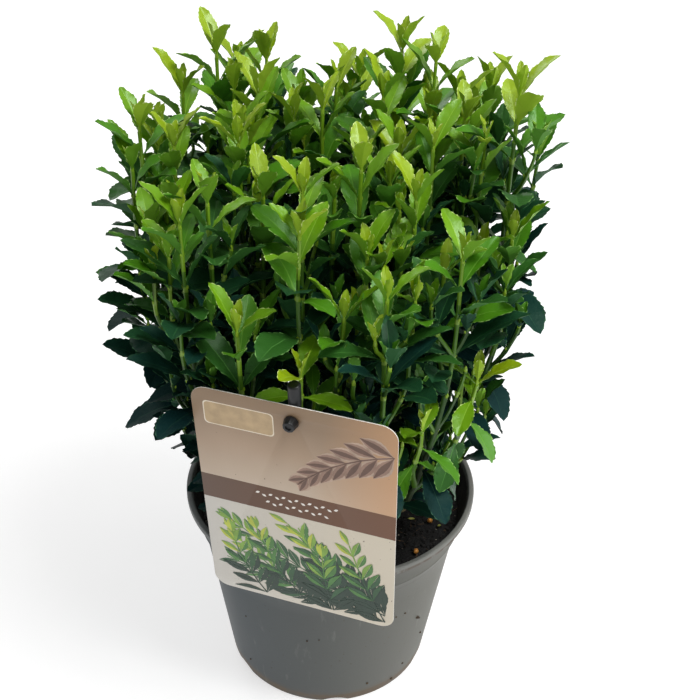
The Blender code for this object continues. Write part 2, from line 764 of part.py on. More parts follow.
def build_mass(mass, index, limbs, section, leaf_material, collection):
    """One mass of foliage: its shoots and leaves joined to the stem that continues its limb."""
    rng = random.Random(SEED * 7 + index)
    shoots = mass_shoots(mass, index)
    twigs = []
    for i, shoot in enumerate(shoots):
        heights = heights_between(shoot.split, shoot.tip, SHOOT_POINTS)
        if i == 0:
            heights.insert(0, JOIN_HEIGHT + CLEAR)
        points = [shoot_point(shoot, height) for height in heights]
        radii = [shoot_radius(shoot, height) for height in heights]
        twigs.append(tube_object("twig", points, radii, leaf_material, collection, section))
    placed = [mesh_tree(twig.data) for twig in twigs]

    def fits(leaf):
        if not leaf_fits(leaf, mass, limbs):
            return False
        tree = leaf_tree(leaf)
        if any(tree.overlap(other) for other in placed):
            return False
        placed.append(tree)
        return True

    pieces = twigs[1:]
    for i, shoot in enumerate(shoots):
        for leaf in shoot_leaves(shoot, shoot.split + LOWEST_NODE * (1 + 2 * i), rng, fits):
            pieces.append(add_mesh_object("leaf", leaf_mesh(leaf), leaf_material, collection))
    for piece in pieces:
        collection.objects.unlink(piece)
    join_by_union(twigs[0], pieces)
    largest_body(twigs[0].data)
    twigs[0].name = twigs[0].data.name = "foliage_" + mass.name
    return len(pieces) - len(twigs) + 1


def build_limbs(material, collection, cutters):
    """Stems and boughs; a bough is cut back to a fattened copy of the stem that it leaves."""
    paths = []
    by_name = {mass.name: mass for mass in MASSES}
    shape = bmesh.new()
    bmesh.ops.create_cube(shape, size=POT_HEIGHT)
    bmesh.ops.translate(shape, verts=shape.verts, vec=(0, 0, COMPOST_TOP + CLEAR - POT_HEIGHT / 2))
    ground = add_mesh_object("ground_cutter", mesh_from_bmesh("ground", shape), material, cutters)
    hide_helper(ground)
    for mass in MASSES:
        if mass.carrier is None:
            points, radii = stem_path(mass)
            stem = tube_object("stem_" + mass.name, points, radii, material, collection)
            cut = stem.modifiers.new("Flat foot", "BOOLEAN")
            cut.operation = "DIFFERENCE"
            cut.object = ground
            paths.append((points, radii))
    for mass in MASSES:
        if mass.carrier is None:
            continue
        parent = by_name[mass.carrier]
        points, radii = bough_path(mass, parent)
        bough = tube_object("bough_" + mass.name, points, radii, material, collection)
        stem_points, stem_radii = stem_path(parent)
        cutter = tube_object("cutter_" + mass.name, stem_points,
                             [radius + CLEAR for radius in stem_radii], material, cutters)
        hide_helper(cutter)
        cut = bough.modifiers.new("Clear of its stem", "BOOLEAN")
        cut.operation = "DIFFERENCE"
        cut.object = cutter
        paths.append((points, radii))
    return paths


def main():
    clear_scene()
    part = make_collection(COLLECTION_NAME)
    cutters = make_collection("Cutters and guides")
    pot_plastic = make_material("Grey recycled polypropylene", (0.135, 0.150, 0.150), 0.55)
    peat = make_material("Moist peat compost", (0.010, 0.009, 0.009), 0.95)
    card_stock = make_material("Printed card", (0.42, 0.34, 0.26), 0.40)
    black_plastic = make_material("Black plastic", (0.012, 0.012, 0.013), 0.45)
    bark = make_material("Green-brown bark", (0.070, 0.060, 0.030), 0.80)
    leaf_green = make_material("Glossy green leaf", (0.060, 0.160, 0.015), 0.38)

    peg_cutter = add_mesh_object("peg_cutter", peg_rod_mesh(CLEAR), black_plastic, cutters)
    hide_helper(peg_cutter)
    build_pot(pot_plastic, part, cutters)
    build_compost(peat, part, peg_cutter)
    build_card(card_stock, part)
    build_peg(black_plastic, part)
    limbs = build_limbs(bark, part, cutters)
    peg_foot, peg_top = peg_line()
    obstacles = limbs + [([peg_foot, peg_top], [PEG_TOP_RADIUS, PEG_TOP_RADIUS])]
    section = triangle_section(cutters)
    leaf_total = sum(build_mass(mass, index, obstacles, section, leaf_green, part)
                     for index, mass in enumerate(MASSES))
    print("leaves:", leaf_total)


main()
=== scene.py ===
"""The looks of the potted Japanese spindle, laid out as a Blender add-on.

Sizes are in metres, +Z up, with the label card towards -Y and the origin under the middle of the pot.
The plant grows by the rule of its solid model: a place on the plan is multiplied by the crown's spread
at each height, each mass has the same main shoots, and finer twigs leave those at their leaf pairs.
"""

import json
import math
import random
from collections import namedtuple
from itertools import product

import bmesh
import bpy
import numpy as np
from bpy.props import FloatProperty, FloatVectorProperty, IntProperty, PointerProperty
from mathutils import Matrix, Vector, noise
from mathutils.bvhtree import BVHTree

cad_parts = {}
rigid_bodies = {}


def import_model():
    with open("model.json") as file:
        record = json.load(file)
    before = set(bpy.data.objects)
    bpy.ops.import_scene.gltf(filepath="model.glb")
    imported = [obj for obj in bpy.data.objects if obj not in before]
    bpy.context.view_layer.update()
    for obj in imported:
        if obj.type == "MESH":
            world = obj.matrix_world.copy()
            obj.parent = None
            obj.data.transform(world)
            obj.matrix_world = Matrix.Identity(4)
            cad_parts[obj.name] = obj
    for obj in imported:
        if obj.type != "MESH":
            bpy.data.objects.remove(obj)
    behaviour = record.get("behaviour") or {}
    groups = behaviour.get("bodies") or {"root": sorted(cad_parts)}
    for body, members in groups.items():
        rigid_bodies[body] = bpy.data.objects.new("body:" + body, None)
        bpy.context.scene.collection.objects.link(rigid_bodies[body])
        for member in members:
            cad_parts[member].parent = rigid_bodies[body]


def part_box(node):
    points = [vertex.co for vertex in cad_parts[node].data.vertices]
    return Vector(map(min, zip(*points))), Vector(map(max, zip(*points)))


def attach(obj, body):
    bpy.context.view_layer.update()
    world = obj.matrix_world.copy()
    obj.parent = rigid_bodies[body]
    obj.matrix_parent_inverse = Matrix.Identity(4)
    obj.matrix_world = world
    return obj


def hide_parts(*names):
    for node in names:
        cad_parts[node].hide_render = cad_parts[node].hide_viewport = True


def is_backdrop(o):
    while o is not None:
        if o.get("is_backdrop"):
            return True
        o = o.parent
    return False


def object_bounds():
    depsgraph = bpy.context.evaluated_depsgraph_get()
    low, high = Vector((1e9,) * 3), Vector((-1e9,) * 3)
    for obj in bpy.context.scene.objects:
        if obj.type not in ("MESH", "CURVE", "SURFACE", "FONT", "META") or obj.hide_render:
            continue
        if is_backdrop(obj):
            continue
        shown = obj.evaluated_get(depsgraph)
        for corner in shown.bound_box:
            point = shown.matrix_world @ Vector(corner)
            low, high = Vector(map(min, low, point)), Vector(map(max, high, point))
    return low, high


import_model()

bl_info = {
    "name": "Potted Japanese spindle",
    "version": (1, 0, 0),
    "blender": (4, 5, 0),
    "location": "3D View > Sidebar > Spindle",
    "description": "Builds a potted Japanese spindle shrub with its label card on a studio floor",
    "category": "Add Mesh",
}

CAD_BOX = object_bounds()
POT_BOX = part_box("pot")
BODY = "root"

# Pot, from its node and from the solid model's own sizes
POT_HEIGHT = POT_BOX[1].z
LIP_RADIUS = POT_BOX[1].x
LIP_WIDTH = 0.0032
LIP_DEPTH = 0.0034
LIP_ROUNDING = 0.0010
LIP_OVERHANG = 0.0014
EDGE = 0.0005
COLLAR_HEIGHT = 0.026
COLLAR_FOOT = POT_HEIGHT - COLLAR_HEIGHT
COLLAR_FOOT_RADIUS = 0.0768
COLLAR_WIDENING = LIP_RADIUS - LIP_OVERHANG - COLLAR_FOOT_RADIUS
RING_RISE = 0.0068
RING_HEIGHT = 0.00035
STEP_ROUNDING = 0.0006
BODY_STEP = 0.0010
BASE_RADIUS = 0.0622
BASE_ROUNDING = 0.0014
WALL = 0.0015
FLOOR = 0.0020
NOTCH_COUNT = 6
NOTCH_WIDTH = 0.0175
NOTCH_HEIGHT = 0.0032
NOTCH_LENGTH = 0.016
FIRST_NOTCH = math.radians(-84)

# The compost: its top, how its edge sinks from this share of the radius on, and its bumps a metre
COMPOST_TOP = POT_HEIGHT - 0.015
COMPOST_EDGE_DROP = 0.0020
EDGE_START = 0.8
BUMPS = 90.0
BED_MARGIN = 0.0015
CLEAR = 0.0003

# Label card and its peg
CARD_WIDTH = 0.101
CARD_HEIGHT = 0.140
CARD_THICKNESS = 0.0006
CARD_CORNER = 0.008
CARD_BEVEL = 0.00012
CARD_YAW = math.radians(-17.5)
CARD_PITCH = math.radians(-6)
CARD_SHIFT = 0.0136
CARD_RISE = 0.0586
HOLE_RADIUS = 0.0022
HOLE_DROP = 0.0092
PEG_TOP_RADIUS = 0.0032
PEG_FOOT_RADIUS = 0.0015
PEG_ABOVE_HOLE = 0.0195
PEG_DEPTH = 0.038
PEG_WALL_CLEARANCE = 0.0066
PEG_BEHIND_CARD = 0.0045
PEG_ROUNDING = 0.0012
PEG_POINT_RADIUS = PEG_FOOT_RADIUS * 0.55
PEG_POINT_LENGTH = 0.006
NECK_RADIUS = 0.0016
BUTTON_RADIUS = 0.0038
BUTTON_THICKNESS = 0.0045
BUTTON_TAPER = 0.8
BUTTON_DISH = 0.0007
BUTTON_BACK_ROUNDING = 0.0004
BUTTON_ROUNDING = 0.0006
BUTTON_FLUTES = 10
FLUTE_SHARE = 0.07

# The growth rule, as in the solid model
FOOT_SPREAD = 0.55
FLARE_HEIGHT = 0.165
JOIN_HEIGHT = POT_HEIGHT + 0.019
FORK_HEIGHT = COMPOST_TOP + 0.008
CROWN_REACH = 0.1165
CROWN_MIDDLE_X = -0.006
CARD_CLEARANCE = 0.0030
OPENING_POWER = 2.5
BOUGH_POWER = 1.6
STEM_RADIUS = 0.0032
BOUGH_RADIUS = 0.0023
JOIN_RADIUS = 0.0020
ROOT_FLARE = 0.0020
ROOT_FLARE_HEIGHT = 0.006
BOUGH_END = 0.005
SHOOT_RADIUS = 0.0018
TIP_RADIUS = 0.0009
SPLIT_STEP = 0.005
OPENING_HEIGHT = 0.065
TIP_LEAF_RISE = 0.021
SWAY = 0.0022
SWAY_TURN = 4.0
# Leaf pairs stand a little closer here than in the solid model, which has fewer of them
NODE_GAP_TIP = 0.0135
NODE_GAP_GROWTH = 1.25
NODE_GAP_MOST = 0.0245
LOWEST_NODE = 0.003
PAIR_STEP = 0.0004
# The rings of a shoot, its swollen nodes with their collars, and its buds
TWIG_STEP = 0.0026
TWIG_SQUARENESS = 0.07
NODE_SWELL = 0.26
NODE_SWELL_HEIGHT = 0.0016
COLLAR_HALF_HEIGHT = 0.0011
BUD_RISE = 0.0008
BUD_LENGTH = 0.0024
BUD_RADIUS = 0.0008
TIP_BUD_LENGTH = 0.0040
TIP_BUD_RADIUS = 0.0010
LEAF_LENGTH_TIP = 0.027
LEAF_LENGTH = 0.043
LIFT_TIP = 70
LIFT_GROWN = 38
LIFT_FOOT = -20
YOUNG_SHARE = 0.30
# The pair of leaves over the bud: slimness, fold and bend, angle above the level, and length
BUD_LEAF_HABIT = (0.78, 0.60, 0.25)
BUD_LEAF_LIFT = (76, 84)
BUD_LEAF_LENGTH = (0.014, 0.019)
LENGTH_JITTER = 0.1
LIFT_JITTER = math.radians(9)
TURN_JITTER = math.radians(14)
# A leaf's tries at its place until one fits: how far it is turned and raised, in degrees, and its share
# of the full length. A turned one is tried on one side and then on the other.
LEAF_TRIES = [(side * turned, raised, share) for turned, raised, share in (
    (0, 0, 1.0), (0, 10, 0.94), (18, 6, 0.94), (0, 20, 0.86), (30, 14, 0.86), (0, -12, 0.86),
    (0, 30, 0.76), (44, 24, 0.74), (24, -14, 0.70), (64, 30, 0.66), (12, -24, 0.80), (0, 40, 0.72),
    (36, 0, 0.72), (54, -10, 0.66), (0, -36, 0.66), (76, 16, 0.60), (28, 44, 0.58), (90, 0, 0.52))
    for side in ((1, -1) if turned else (1,))]
SEED = 417

Mass = namedtuple("Mass", "name azimuth reach carrier tips")
Shoot = namedtuple("Shoot", "place start split tip sway phase opening radius")
Leaf = namedtuple("Leaf", "root forward side up length slim fold bend twist wave")
Bed = namedtuple("Bed", "mass fine twigs leaves shoots")

# Name, azimuth in degrees and reach on the plan, carrier, and the main shoots' places on the plan
# with the height of their leaf tips above the lip
MASSES = (
    Mass("front", -86, 0.080, "heart_front",
         ((0.025, -0.080, 0.184), (-0.013, -0.088, 0.147), (0.006, -0.070, 0.168))),
    Mass("front_right", -46, 0.085, "heart_right",
         ((0.059, -0.060, 0.195), (0.076, -0.052, 0.123), (0.049, -0.075, 0.105))),
    Mass("right", -4, 0.078, None,
         ((0.086, 0.000, 0.252), (0.062, 0.010, 0.236), (0.086, -0.026, 0.190))),
    Mass("back_right", 38, 0.081, "heart_back_right",
         ((0.062, 0.040, 0.236), (0.078, 0.046, 0.238), (0.050, 0.064, 0.215))),
    Mass("back", 81, 0.084, "heart_back",
         ((0.010, 0.078, 0.236), (0.032, 0.080, 0.222), (-0.004, 0.092, 0.208))),
    Mass("back_left", 118, 0.088, None,
         ((-0.040, 0.070, 0.246), (-0.056, 0.078, 0.240), (-0.028, 0.088, 0.205))),
    Mass("left_back", 154, 0.087, "heart_left",
         ((-0.064, 0.050, 0.254), (-0.081, 0.040, 0.236), (-0.092, 0.024, 0.212))),
    Mass("left", 187, 0.087, "front_left",
         ((-0.096, 0.000, 0.231), (-0.079, -0.004, 0.223), (-0.088, -0.030, 0.190))),
    Mass("front_left", 229, 0.085, None,
         ((-0.057, -0.050, 0.215), (-0.068, -0.062, 0.209), (-0.042, -0.080, 0.165))),
    Mass("heart_front", -84, 0.044, None,
         ((-0.014, -0.050, 0.220), (0.012, -0.030, 0.225), (0.016, -0.052, 0.190))),
    Mass("heart_right", -22, 0.041, None,
         ((0.046, -0.010, 0.229), (0.038, -0.034, 0.212), (0.030, -0.002, 0.222))),
    Mass("heart_back_right", 41, 0.044, None,
         ((0.031, 0.040, 0.261), (0.022, 0.020, 0.243), (0.046, 0.026, 0.232))),
    Mass("heart_back", 106, 0.040, None,
         ((-0.002, 0.050, 0.238), (-0.008, 0.020, 0.236), (-0.022, 0.046, 0.228))),
    Mass("heart_left", 187, 0.040, None,
         ((-0.040, 0.022, 0.242), (-0.047, -0.010, 0.228), (-0.034, -0.028, 0.210))),
)

# The blade of a leaf: petiole's share of the length, where it is widest, and the section
PETIOLE_SHARE = 0.06
PETIOLE_HALF_WIDTH = 0.0009
WIDEST_POWER = 1.32
OUTLINE_POWER = 0.82
LEAF_CUP = 0.30
LEAF_HALF_THICKNESS = 0.00016
VEIN_HALF_WIDTH = 0.00032
FIRST_TOOTH = 0.17
LAST_TOOTH = 0.97
TOOTH_LEAN = 0.70
MIDRIB_STATIONS = (0.15, 0.40, 0.70)
WAVES = 3.2
WAVE_HEIGHT = 0.00045
# Numbers of teeth on a side, and the lengths past which a leaf has the next number
TEETH = (6, 8, 10)
TEETH_LENGTHS = (0.018, 0.028)
FULL_TEETH_LENGTH = 0.036
SHARP_ANGLE = math.radians(50)

# Where a leaf is tested against its neighbours: shares of its length, from past its petiole
TEST_STATIONS = (0.16, 0.36, 0.58, 0.78, 0.96)
TEST_WIDTH = 0.82
LEAF_SINK = 0.30
LEAF_CLEARANCE = 0.0014
NEIGHBOUR_CELL = 0.030

# Tones of foliage from the tip down: name, blade, midrib, underside and teeth
# The darker tones stand partly for older leaves and partly for painted shade deep in the crown
TONES = (
    ("lime", "#97b312", "#b8d452", "#94b430", "#d4e490"),
    ("fresh", "#72a412", "#96c244", "#6c9a28", "#bed880"),
    ("spring", "#4f8b17", "#74aa3e", "#4c7e28", "#9cc46c"),
    ("leaf", "#306122", "#589044", "#35642a", "#7aac60"),
    ("green", "#1d472b", "#407644", "#264f2c", "#5e9056"),
    ("deep", "#153a31", "#376046", "#214230", "#4b7a56"),
    ("shade", "#113132", "#2d4f42", "#1c3830", "#3f6852"),
)
# Depth under its shoot's tip, in metres, past which a leaf has the next tone
TONE_DEPTHS = (0.018, 0.034, 0.050, 0.067, 0.087, 0.112)
SHOOT_TONE_DEPTHS = (0.022, 0.065, 0.110)
FLUSH_SHARE = 0.12
# The teeth are drawn pale, partly for their own pale edge and partly as a painted glint along it
ROLES = ("blade", "vein", "back", "teeth")
# The wax shines in the green of what is under it
WAX_TINT = (0.62, 0.90, 0.62, 1.0)
# Colours of the shoots from the tip down, then of their node collars and buds, by material number
TWIG_TONES = (("tender", "#6f9618"), ("green", "#467014"), ("firm", "#2d4f19"), ("ripe", "#2c3a20"),
              ("collar", "#7fa03e"), ("bud", "#86a824"))
COLLAR = 4
BUD = 5
# The gloss of the card's lacquer
LACQUER = {"roughness": 0.36, "Coat_Weight": 0.10, "Coat_Roughness": 0.15, "Specular_IOR_Level": 0.35}

# Side shoots: how many of a main shoot's nodes carry one, and how far it goes
SIDE_LOWEST = 0.02
SIDE_HIGHEST = 0.78
SIDE_REACH = (0.009, 0.020)
SIDE_RISE = (0.020, 0.058)
TALL_SHARES = (0.44,)
TALL_REACH = (0.012, 0.022)
TALL_DROP = (0.002, 0.028)
SIDE_SPLIT = 0.0012
SIDE_DROP = 0.020
SIDE_OPENING = 0.030
SIDE_SWAY = Vector((0.0008, 0.0006))
SIDE_BARE = 0.006
SIDE_POWER = 1.6
SIDE_RADIUS = 0.0012
SIDE_AGE_LENGTH = 0.115
SIDE_LEAF_SCALE = 0.96

# Low shoots, which leave the woody limbs themselves
LOW_SHOOTS = 3
LOW_START = 0.014
LOW_REACH = (0.016, 0.034)
LOW_RISE = (0.024, 0.070)
# The dark tone of most low shoots is painted shade at the crown's foot; on the lit front right most take
# the young tone instead, partly as painted light
LOW_TONE = 0.050
LOW_YOUNG_TONE = 0.012
LOW_YOUNG_SHARE = 0.9
LOW_SHADED_SHARE = 0.1
LOW_GAP = 0.0065
LOW_TURN = 130
SUNNY_EDGE = 0.02
# The lowest leaves are shorter, so that they hang inside the lip: from which height down, and by how much
FOOT_LEAVES = (POT_HEIGHT + 0.085, POT_HEIGHT + 0.030)
FOOT_LEAF_LOSS = 0.34
# A main shoot that ends below this height is young and vivid all along, with short leaves that open flat
LOW_TIP = POT_HEIGHT + 0.13
# Such a shoot's tones are lighter by this much: partly its young growth, partly painted light on the lit
# front
LOW_TIP_VIGOUR = 0.026
LOW_TIP_SPREAD = math.radians(28)
LOW_TIP_ROW_SPREAD = math.radians(25)
LOW_TIP_LEVEL = math.radians(-38)
LOW_TIP_LENGTH = 0.80
LOW_TIP_GAP = 0.0095
# Nothing else grows round the crown of such a shoot, or between it and its light
LOW_CROWN_DROP = 0.008
LOW_CROWN_REACH = 0.024
LIGHT_SIDE = Vector((0.1, -0.84, 0.53)).normalized()
LIGHT_REACH = 0.060
LIGHT_WIDTH = 0.024
# Painted shade: how much darker, in metres of depth, leaves are drawn for each metre that their shoot ends
# under the top
DROP_SHADE = 0.25
# How much older or younger than its depth a whole shoot looks, in metres of depth, and each leaf on it
VIGOUR = (-0.006, 0.008)
TONE_JITTER = (-0.005, 0.005)
# Side shoots are drawn darker, in metres of depth, the lower they leave their parent: painted shade. All
# but the flushing ones are darker again, partly as duller growth and partly as painted shade
SIDE_SHADE = 0.045
SIDE_TONE = (0.012, 0.040)
OUTER_PLACE = 0.100

# The stage: what the lights aim at, and the camera that was fitted to the photograph
LIGHT_TARGET = Vector((0.0, 0.0, 0.22))
BACK_SHARE = 0.36
SIDE_SHARE = 0.40
STUDIO_LENS = 51.43
CAMERA_DISTANCE = 0.549
CAMERA_TARGET = Vector((0.0092, 0.0, 0.2130))
CAMERA_ELEVATION = math.radians(31.75)
CAMERA_ROLL = math.radians(1.67)


def linear(hex_color):
    """An sRGB hex colour as the linear colour that shaders take."""
    channels = [int(hex_color[i:i + 2], 16) / 255 for i in (1, 3, 5)]
    return tuple(c / 12.92 if c <= 0.04045 else ((c + 0.055) / 1.055) ** 2.4 for c in channels)


def color_prop(name, description, hex_color):
    """A colour in a property group, with an sRGB hex colour as its default."""
    return FloatVectorProperty(name=name, description=description, subtype="COLOR", size=3,
                               min=0.0, max=1.0, default=linear(hex_color))


class SPINDLE_PG_pot(bpy.types.PropertyGroup):
    """Sizes and colours of the pot and what fills it."""

    steps: IntProperty(name="Steps", description="Segments round the pot", default=144, min=24)
    plastic: color_prop("Plastic", "Colour of the recycled plastic", "#656b6c")
    dust: color_prop("Dust", "Colour of dried soil and dust on the pot", "#594934")
    compost: color_prop("Compost", "Colour of the moist compost", "#090909")
    fibre: color_prop("Fibre", "Colour of the coarse fibres in the compost", "#3a2b20")
    relief: FloatProperty(name="Relief", description="Height of the compost's bumps",
                          default=0.0011, min=0.0, unit="LENGTH")
    crumbs: FloatProperty(name="Crumbs", description="Crumbs on a square metre of compost",
                          default=120000.0, min=0.0)


class SPINDLE_PG_label(bpy.types.PropertyGroup):
    """Colours of the label card and its peg."""

    top: color_prop("Top", "Printed colour along the upper edge", "#8e765d")
    middle: color_prop("Middle", "Printed colour above the band", "#c5b4a1")
    band: color_prop("Band", "Printed colour of the band", "#6d4831")
    lower: color_prop("Lower", "Printed colour under the band", "#cec4b1")
    core: color_prop("Core", "Colour of the unprinted plastic", "#ece9e2")
    peg: color_prop("Peg", "Colour of the peg", "#17181a")


class SPINDLE_PG_plant(bpy.types.PropertyGroup):
    """Sizes and colours of the plant."""

    slenderness: FloatProperty(name="Leaf width", description="Width of a leaf as a share of its length",
                               default=0.38, min=0.1, max=1.0)
    tooth: FloatProperty(name="Teeth", description="How far a tooth stands out of the leaf's edge",
                         default=0.00060, min=0.0, unit="LENGTH")
    gloss: FloatProperty(name="Roughness", description="Roughness of a leaf's upper side",
                         default=0.37, min=0.0, max=1.0, subtype="FACTOR")
    side_share: FloatProperty(name="Side shoots", description="Share of the nodes with a side shoot",
                              default=0.62, min=0.0, max=1.0, subtype="FACTOR")
    bark: color_prop("Bark", "Colour of the young bark", "#5b5a33")
    old_bark: color_prop("Old bark", "Colour of the bark at the foot", "#57432f")


class SPINDLE_PG_stage(bpy.types.PropertyGroup):
    """The floor and the light."""

    floor: color_prop("Floor", "Colour of the studio floor", "#c4c4c4")
    sky: FloatProperty(name="Sky", description="Strength of the light from all round", default=0.34,
                       min=0.0)
    key: FloatProperty(name="Key", description="Power of the main light", default=10.4, min=0.0,
                       unit="POWER")
    fill: FloatProperty(name="Fill", description="Power of the front light", default=1.1, min=0.0,
                        unit="POWER")


def add(tree, kind, inputs=None, **settings):
    """Adds a node with its settings. An input takes a value, a hex colour, or a socket to link to it,
    or a node for that one's first output."""
    node = tree.nodes.new(kind)
    for name, value in settings.items():
        setattr(node, name, value)
    for key, value in (inputs or {}).items():
        socket = node.inputs[key]
        if isinstance(value, bpy.types.Node):
            value = value.outputs[0]
        if isinstance(value, bpy.types.NodeSocket):
            tree.links.new(value, socket)
        elif socket.type == "RGBA":
            socket.default_value = (*(linear(value) if isinstance(value, str) else value), 1.0)
        else:
            socket.default_value = value
    return node


def new_material(name, color, roughness, **values):
    """A material with plain values on its Principled shader. Returns it, its tree and its shader."""
    material = bpy.data.materials.new(name)
    material.use_nodes = True
    material.diffuse_color = (*color, 1.0)
    shader = material.node_tree.nodes["Principled BSDF"]
    shader.inputs["Base Color"].default_value = (*color, 1.0)
    shader.inputs["Roughness"].default_value = roughness
    for name, value in values.items():
        shader.inputs[name.replace("_", " ")].default_value = value
    return material, material.node_tree, shader


def grain(tree, size, detail=4.0, stretch=(1.0, 1.0, 1.0), roughness=0.5):
    """Noise over the piece, with marks about this many millimetres wide, longer where stretch is small."""
    place = add(tree, "ShaderNodeTexCoord").outputs["Object"]
    mapping = add(tree, "ShaderNodeMapping", {"Vector": place, "Scale": stretch})
    return add(tree, "ShaderNodeTexNoise", {"Vector": mapping, "Scale": 1000 / size, "Detail": detail,
                                            "Roughness": roughness})


def zone(tree, axis, *edges):
    """A mask over a stretch of the piece along an axis: it fades in, or out, across each edge."""
    place = add(tree, "ShaderNodeTexCoord").outputs["Object"]
    along = add(tree, "ShaderNodeSeparateXYZ", {"Vector": place}).outputs[axis]
    fades = [add(tree, "ShaderNodeMapRange", {"Value": along, "From Min": start, "From Max": end})
             for start, end in edges]
    if len(fades) == 1:
        return fades[0]
    return add(tree, "ShaderNodeMath", dict(enumerate(fades)), operation="MULTIPLY")


def coat(tree, base, color, *masks, blend="MIX"):
    """The base under a coat of another colour, which shows as far as all its masks do.

    A mask is a number, a node or socket, or a pattern with the two levels that it fades in between.
    """
    cover = None
    for mask in masks:
        if isinstance(mask, tuple):
            mask = add(tree, "ShaderNodeMapRange", dict(zip(("Value", "From Min", "From Max"), mask)))
        cover = mask if cover is None else add(tree, "ShaderNodeMath", {0: cover, 1: mask},
                                               operation="MULTIPLY")
    return add(tree, "ShaderNodeMix", {0: cover, 6: base, 7: color}, data_type="RGBA",
               blend_type=blend).outputs[2]


def surface(tree, shader, base=None, shine=None, relief=None):
    """Gives a shader its colour, a roughness that follows a pattern between two levels, and relief."""
    if base:
        tree.links.new(base, shader.inputs["Base Color"])
    if shine:
        names = ("Value", "From Min", "From Max", "To Min", "To Max")
        rough = add(tree, "ShaderNodeMapRange", dict(zip(names, shine)))
        tree.links.new(rough.outputs[0], shader.inputs["Roughness"])
    if relief:
        bump = add(tree, "ShaderNodeBump", dict(zip(("Height", "Strength", "Distance"), relief)))
        tree.links.new(bump.outputs[0], shader.inputs["Normal"])


def pot_plastic(looks):
    """Moulded recycled polypropylene: a dull satin grey with flow marks, black specks and dust."""
    material, tree, shader = new_material("Recycled polypropylene", looks.plastic, 0.5,
                                          Specular_IOR_Level=0.42)
    flow = grain(tree, 45.45, 5.0, (1.0, 1.0, 0.35))
    base = coat(tree, "#2b353a", "#384144", (flow, 0.30, 0.72))
    # The mould's own grain is about 0.3 mm, and is drawn coarser so that it shows
    fine = grain(tree, 1.111, 3.0)
    base = coat(tree, base, fine, 0.10, blend="OVERLAY")
    base = coat(tree, base, "#23201d", (grain(tree, 2.381, 1.0), 0.735, 0.765), 0.9)
    # The right side is drawn lighter and warmer: painted light from the right.
    right = zone(tree, "X", (-0.05, 0.07))
    base = coat(tree, base, "#98917f", right, 0.34)
    # The band at the top of the lip is drawn paler
    pale_lip_band = zone(tree, "Z", (POT_HEIGHT - 0.0052, POT_HEIGHT - 0.0036))
    base = coat(tree, base, "#858683", pale_lip_band, 0.45)
    # Dried soil keeps to just under the lip on the right, to the foot, and to a ring above that
    under_lip = zone(tree, "Z", (POT_HEIGHT - 0.0068, POT_HEIGHT - 0.0050),
                     (POT_HEIGHT - 0.0014, POT_HEIGHT - 0.0024))
    patches = grain(tree, 10.53, 7.0, (1.0, 1.0, 0.6), 0.65)
    base = coat(tree, base, "#4b3a29", under_lip, (patches, 0.37, 0.47), right, 0.90)
    soil = add(tree, "ShaderNodeMath", {0: zone(tree, "Z", (0.0100, 0.0020)),
                                        1: zone(tree, "Z", (0.0022, 0.0042), (0.0068, 0.0048))},
               operation="ADD")
    thin = add(tree, "ShaderNodeMapRange", {"Value": grain(tree, 23.81, 6.0), "From Min": 0.30,
                                            "From Max": 0.56, "To Min": 0.25})
    soil = add(tree, "ShaderNodeMath", {0: soil, 1: thin}, operation="MULTIPLY", use_clamp=True)
    base = coat(tree, base, looks.dust, soil, 0.90)
    scuffs = grain(tree, 7.692, 8.0, (1.0, 1.0, 0.18), 0.7)
    base = coat(tree, base, "#b8b8b2", (scuffs, 0.60, 0.74), 0.16)
    surface(tree, shader, base, (flow, 0.2, 0.8, 0.42, 0.60), (fine, 0.12, 0.0002))
    return material


def dark_inner_plastic():
    """The same polypropylene on the pot's inner wall: drawn nearly black with brown patches, and its own
    grey again along the lip.
    """
    material, tree, shader = new_material("Soiled polypropylene", linear("#14130f"), 0.85)
    splashes = grain(tree, 5.263, 6.0, roughness=0.65)
    place = add(tree, "ShaderNodeTexCoord").outputs["Object"]
    height = add(tree, "ShaderNodeSeparateXYZ", {"Vector": place}).outputs["Z"]
    level = add(tree, "ShaderNodeMath", {0: splashes, 1: 0.006, 2: height}, operation="MULTIPLY_ADD")
    base = coat(tree, "#0f0e0d", "#26221d", (splashes, 0.40, 0.62))
    base = coat(tree, base, "#6a6c69", (level, POT_HEIGHT - 0.0010, POT_HEIGHT + 0.0016))
    surface(tree, shader, base, relief=(splashes, 0.6, 0.0008))
    return material


def wet_peat(looks):
    """Moist peat compost: nearly black clods of 4 mm, with brown fibres and small wet glints."""
    material, tree, shader = new_material("Moist peat", looks.compost, 0.8)
    clods = grain(tree, 3.846, 8.0, roughness=0.7)
    bits = grain(tree, 1.111, 2.0)
    base = coat(tree, looks.compost, "#171413", (clods, 0.40, 0.75))
    base = coat(tree, base, looks.fibre, (bits, 0.66, 0.74), 0.7)
    surface(tree, shader, base, (bits, 0.35, 0.60, 0.55, 0.95), (clods, 0.7, 0.0012))
    return material


def crumb_finish(name, low, high, roughness):
    """A dry crumb of compost, fibre or fertiliser: matt, mottled between two colours."""
    material, tree, shader = new_material(name, linear(high), roughness)
    pits = grain(tree, 1.429)
    surface(tree, shader, coat(tree, low, high, (pits, 0.35, 0.65)), relief=(pits, 0.4, 0.0004))
    return material


def black_polypropylene(looks):
    """Moulded black polypropylene: a fine grain and a soft sheen that picks out its edges."""
    material, tree, shader = new_material("Black polypropylene", looks.peg, 0.34,
                                          Specular_IOR_Level=0.35)
    smears = grain(tree, 6.25)
    # The mould's grain is drawn coarser than its real 0.3 mm
    base = coat(tree, looks.peg, "#26282b", (smears, 0.45, 0.75), 0.5)
    surface(tree, shader, base, (smears, 0.3, 0.7, 0.28, 0.45), (grain(tree, 0.5556, 2.0), 0.15, 0.0001))
    return material


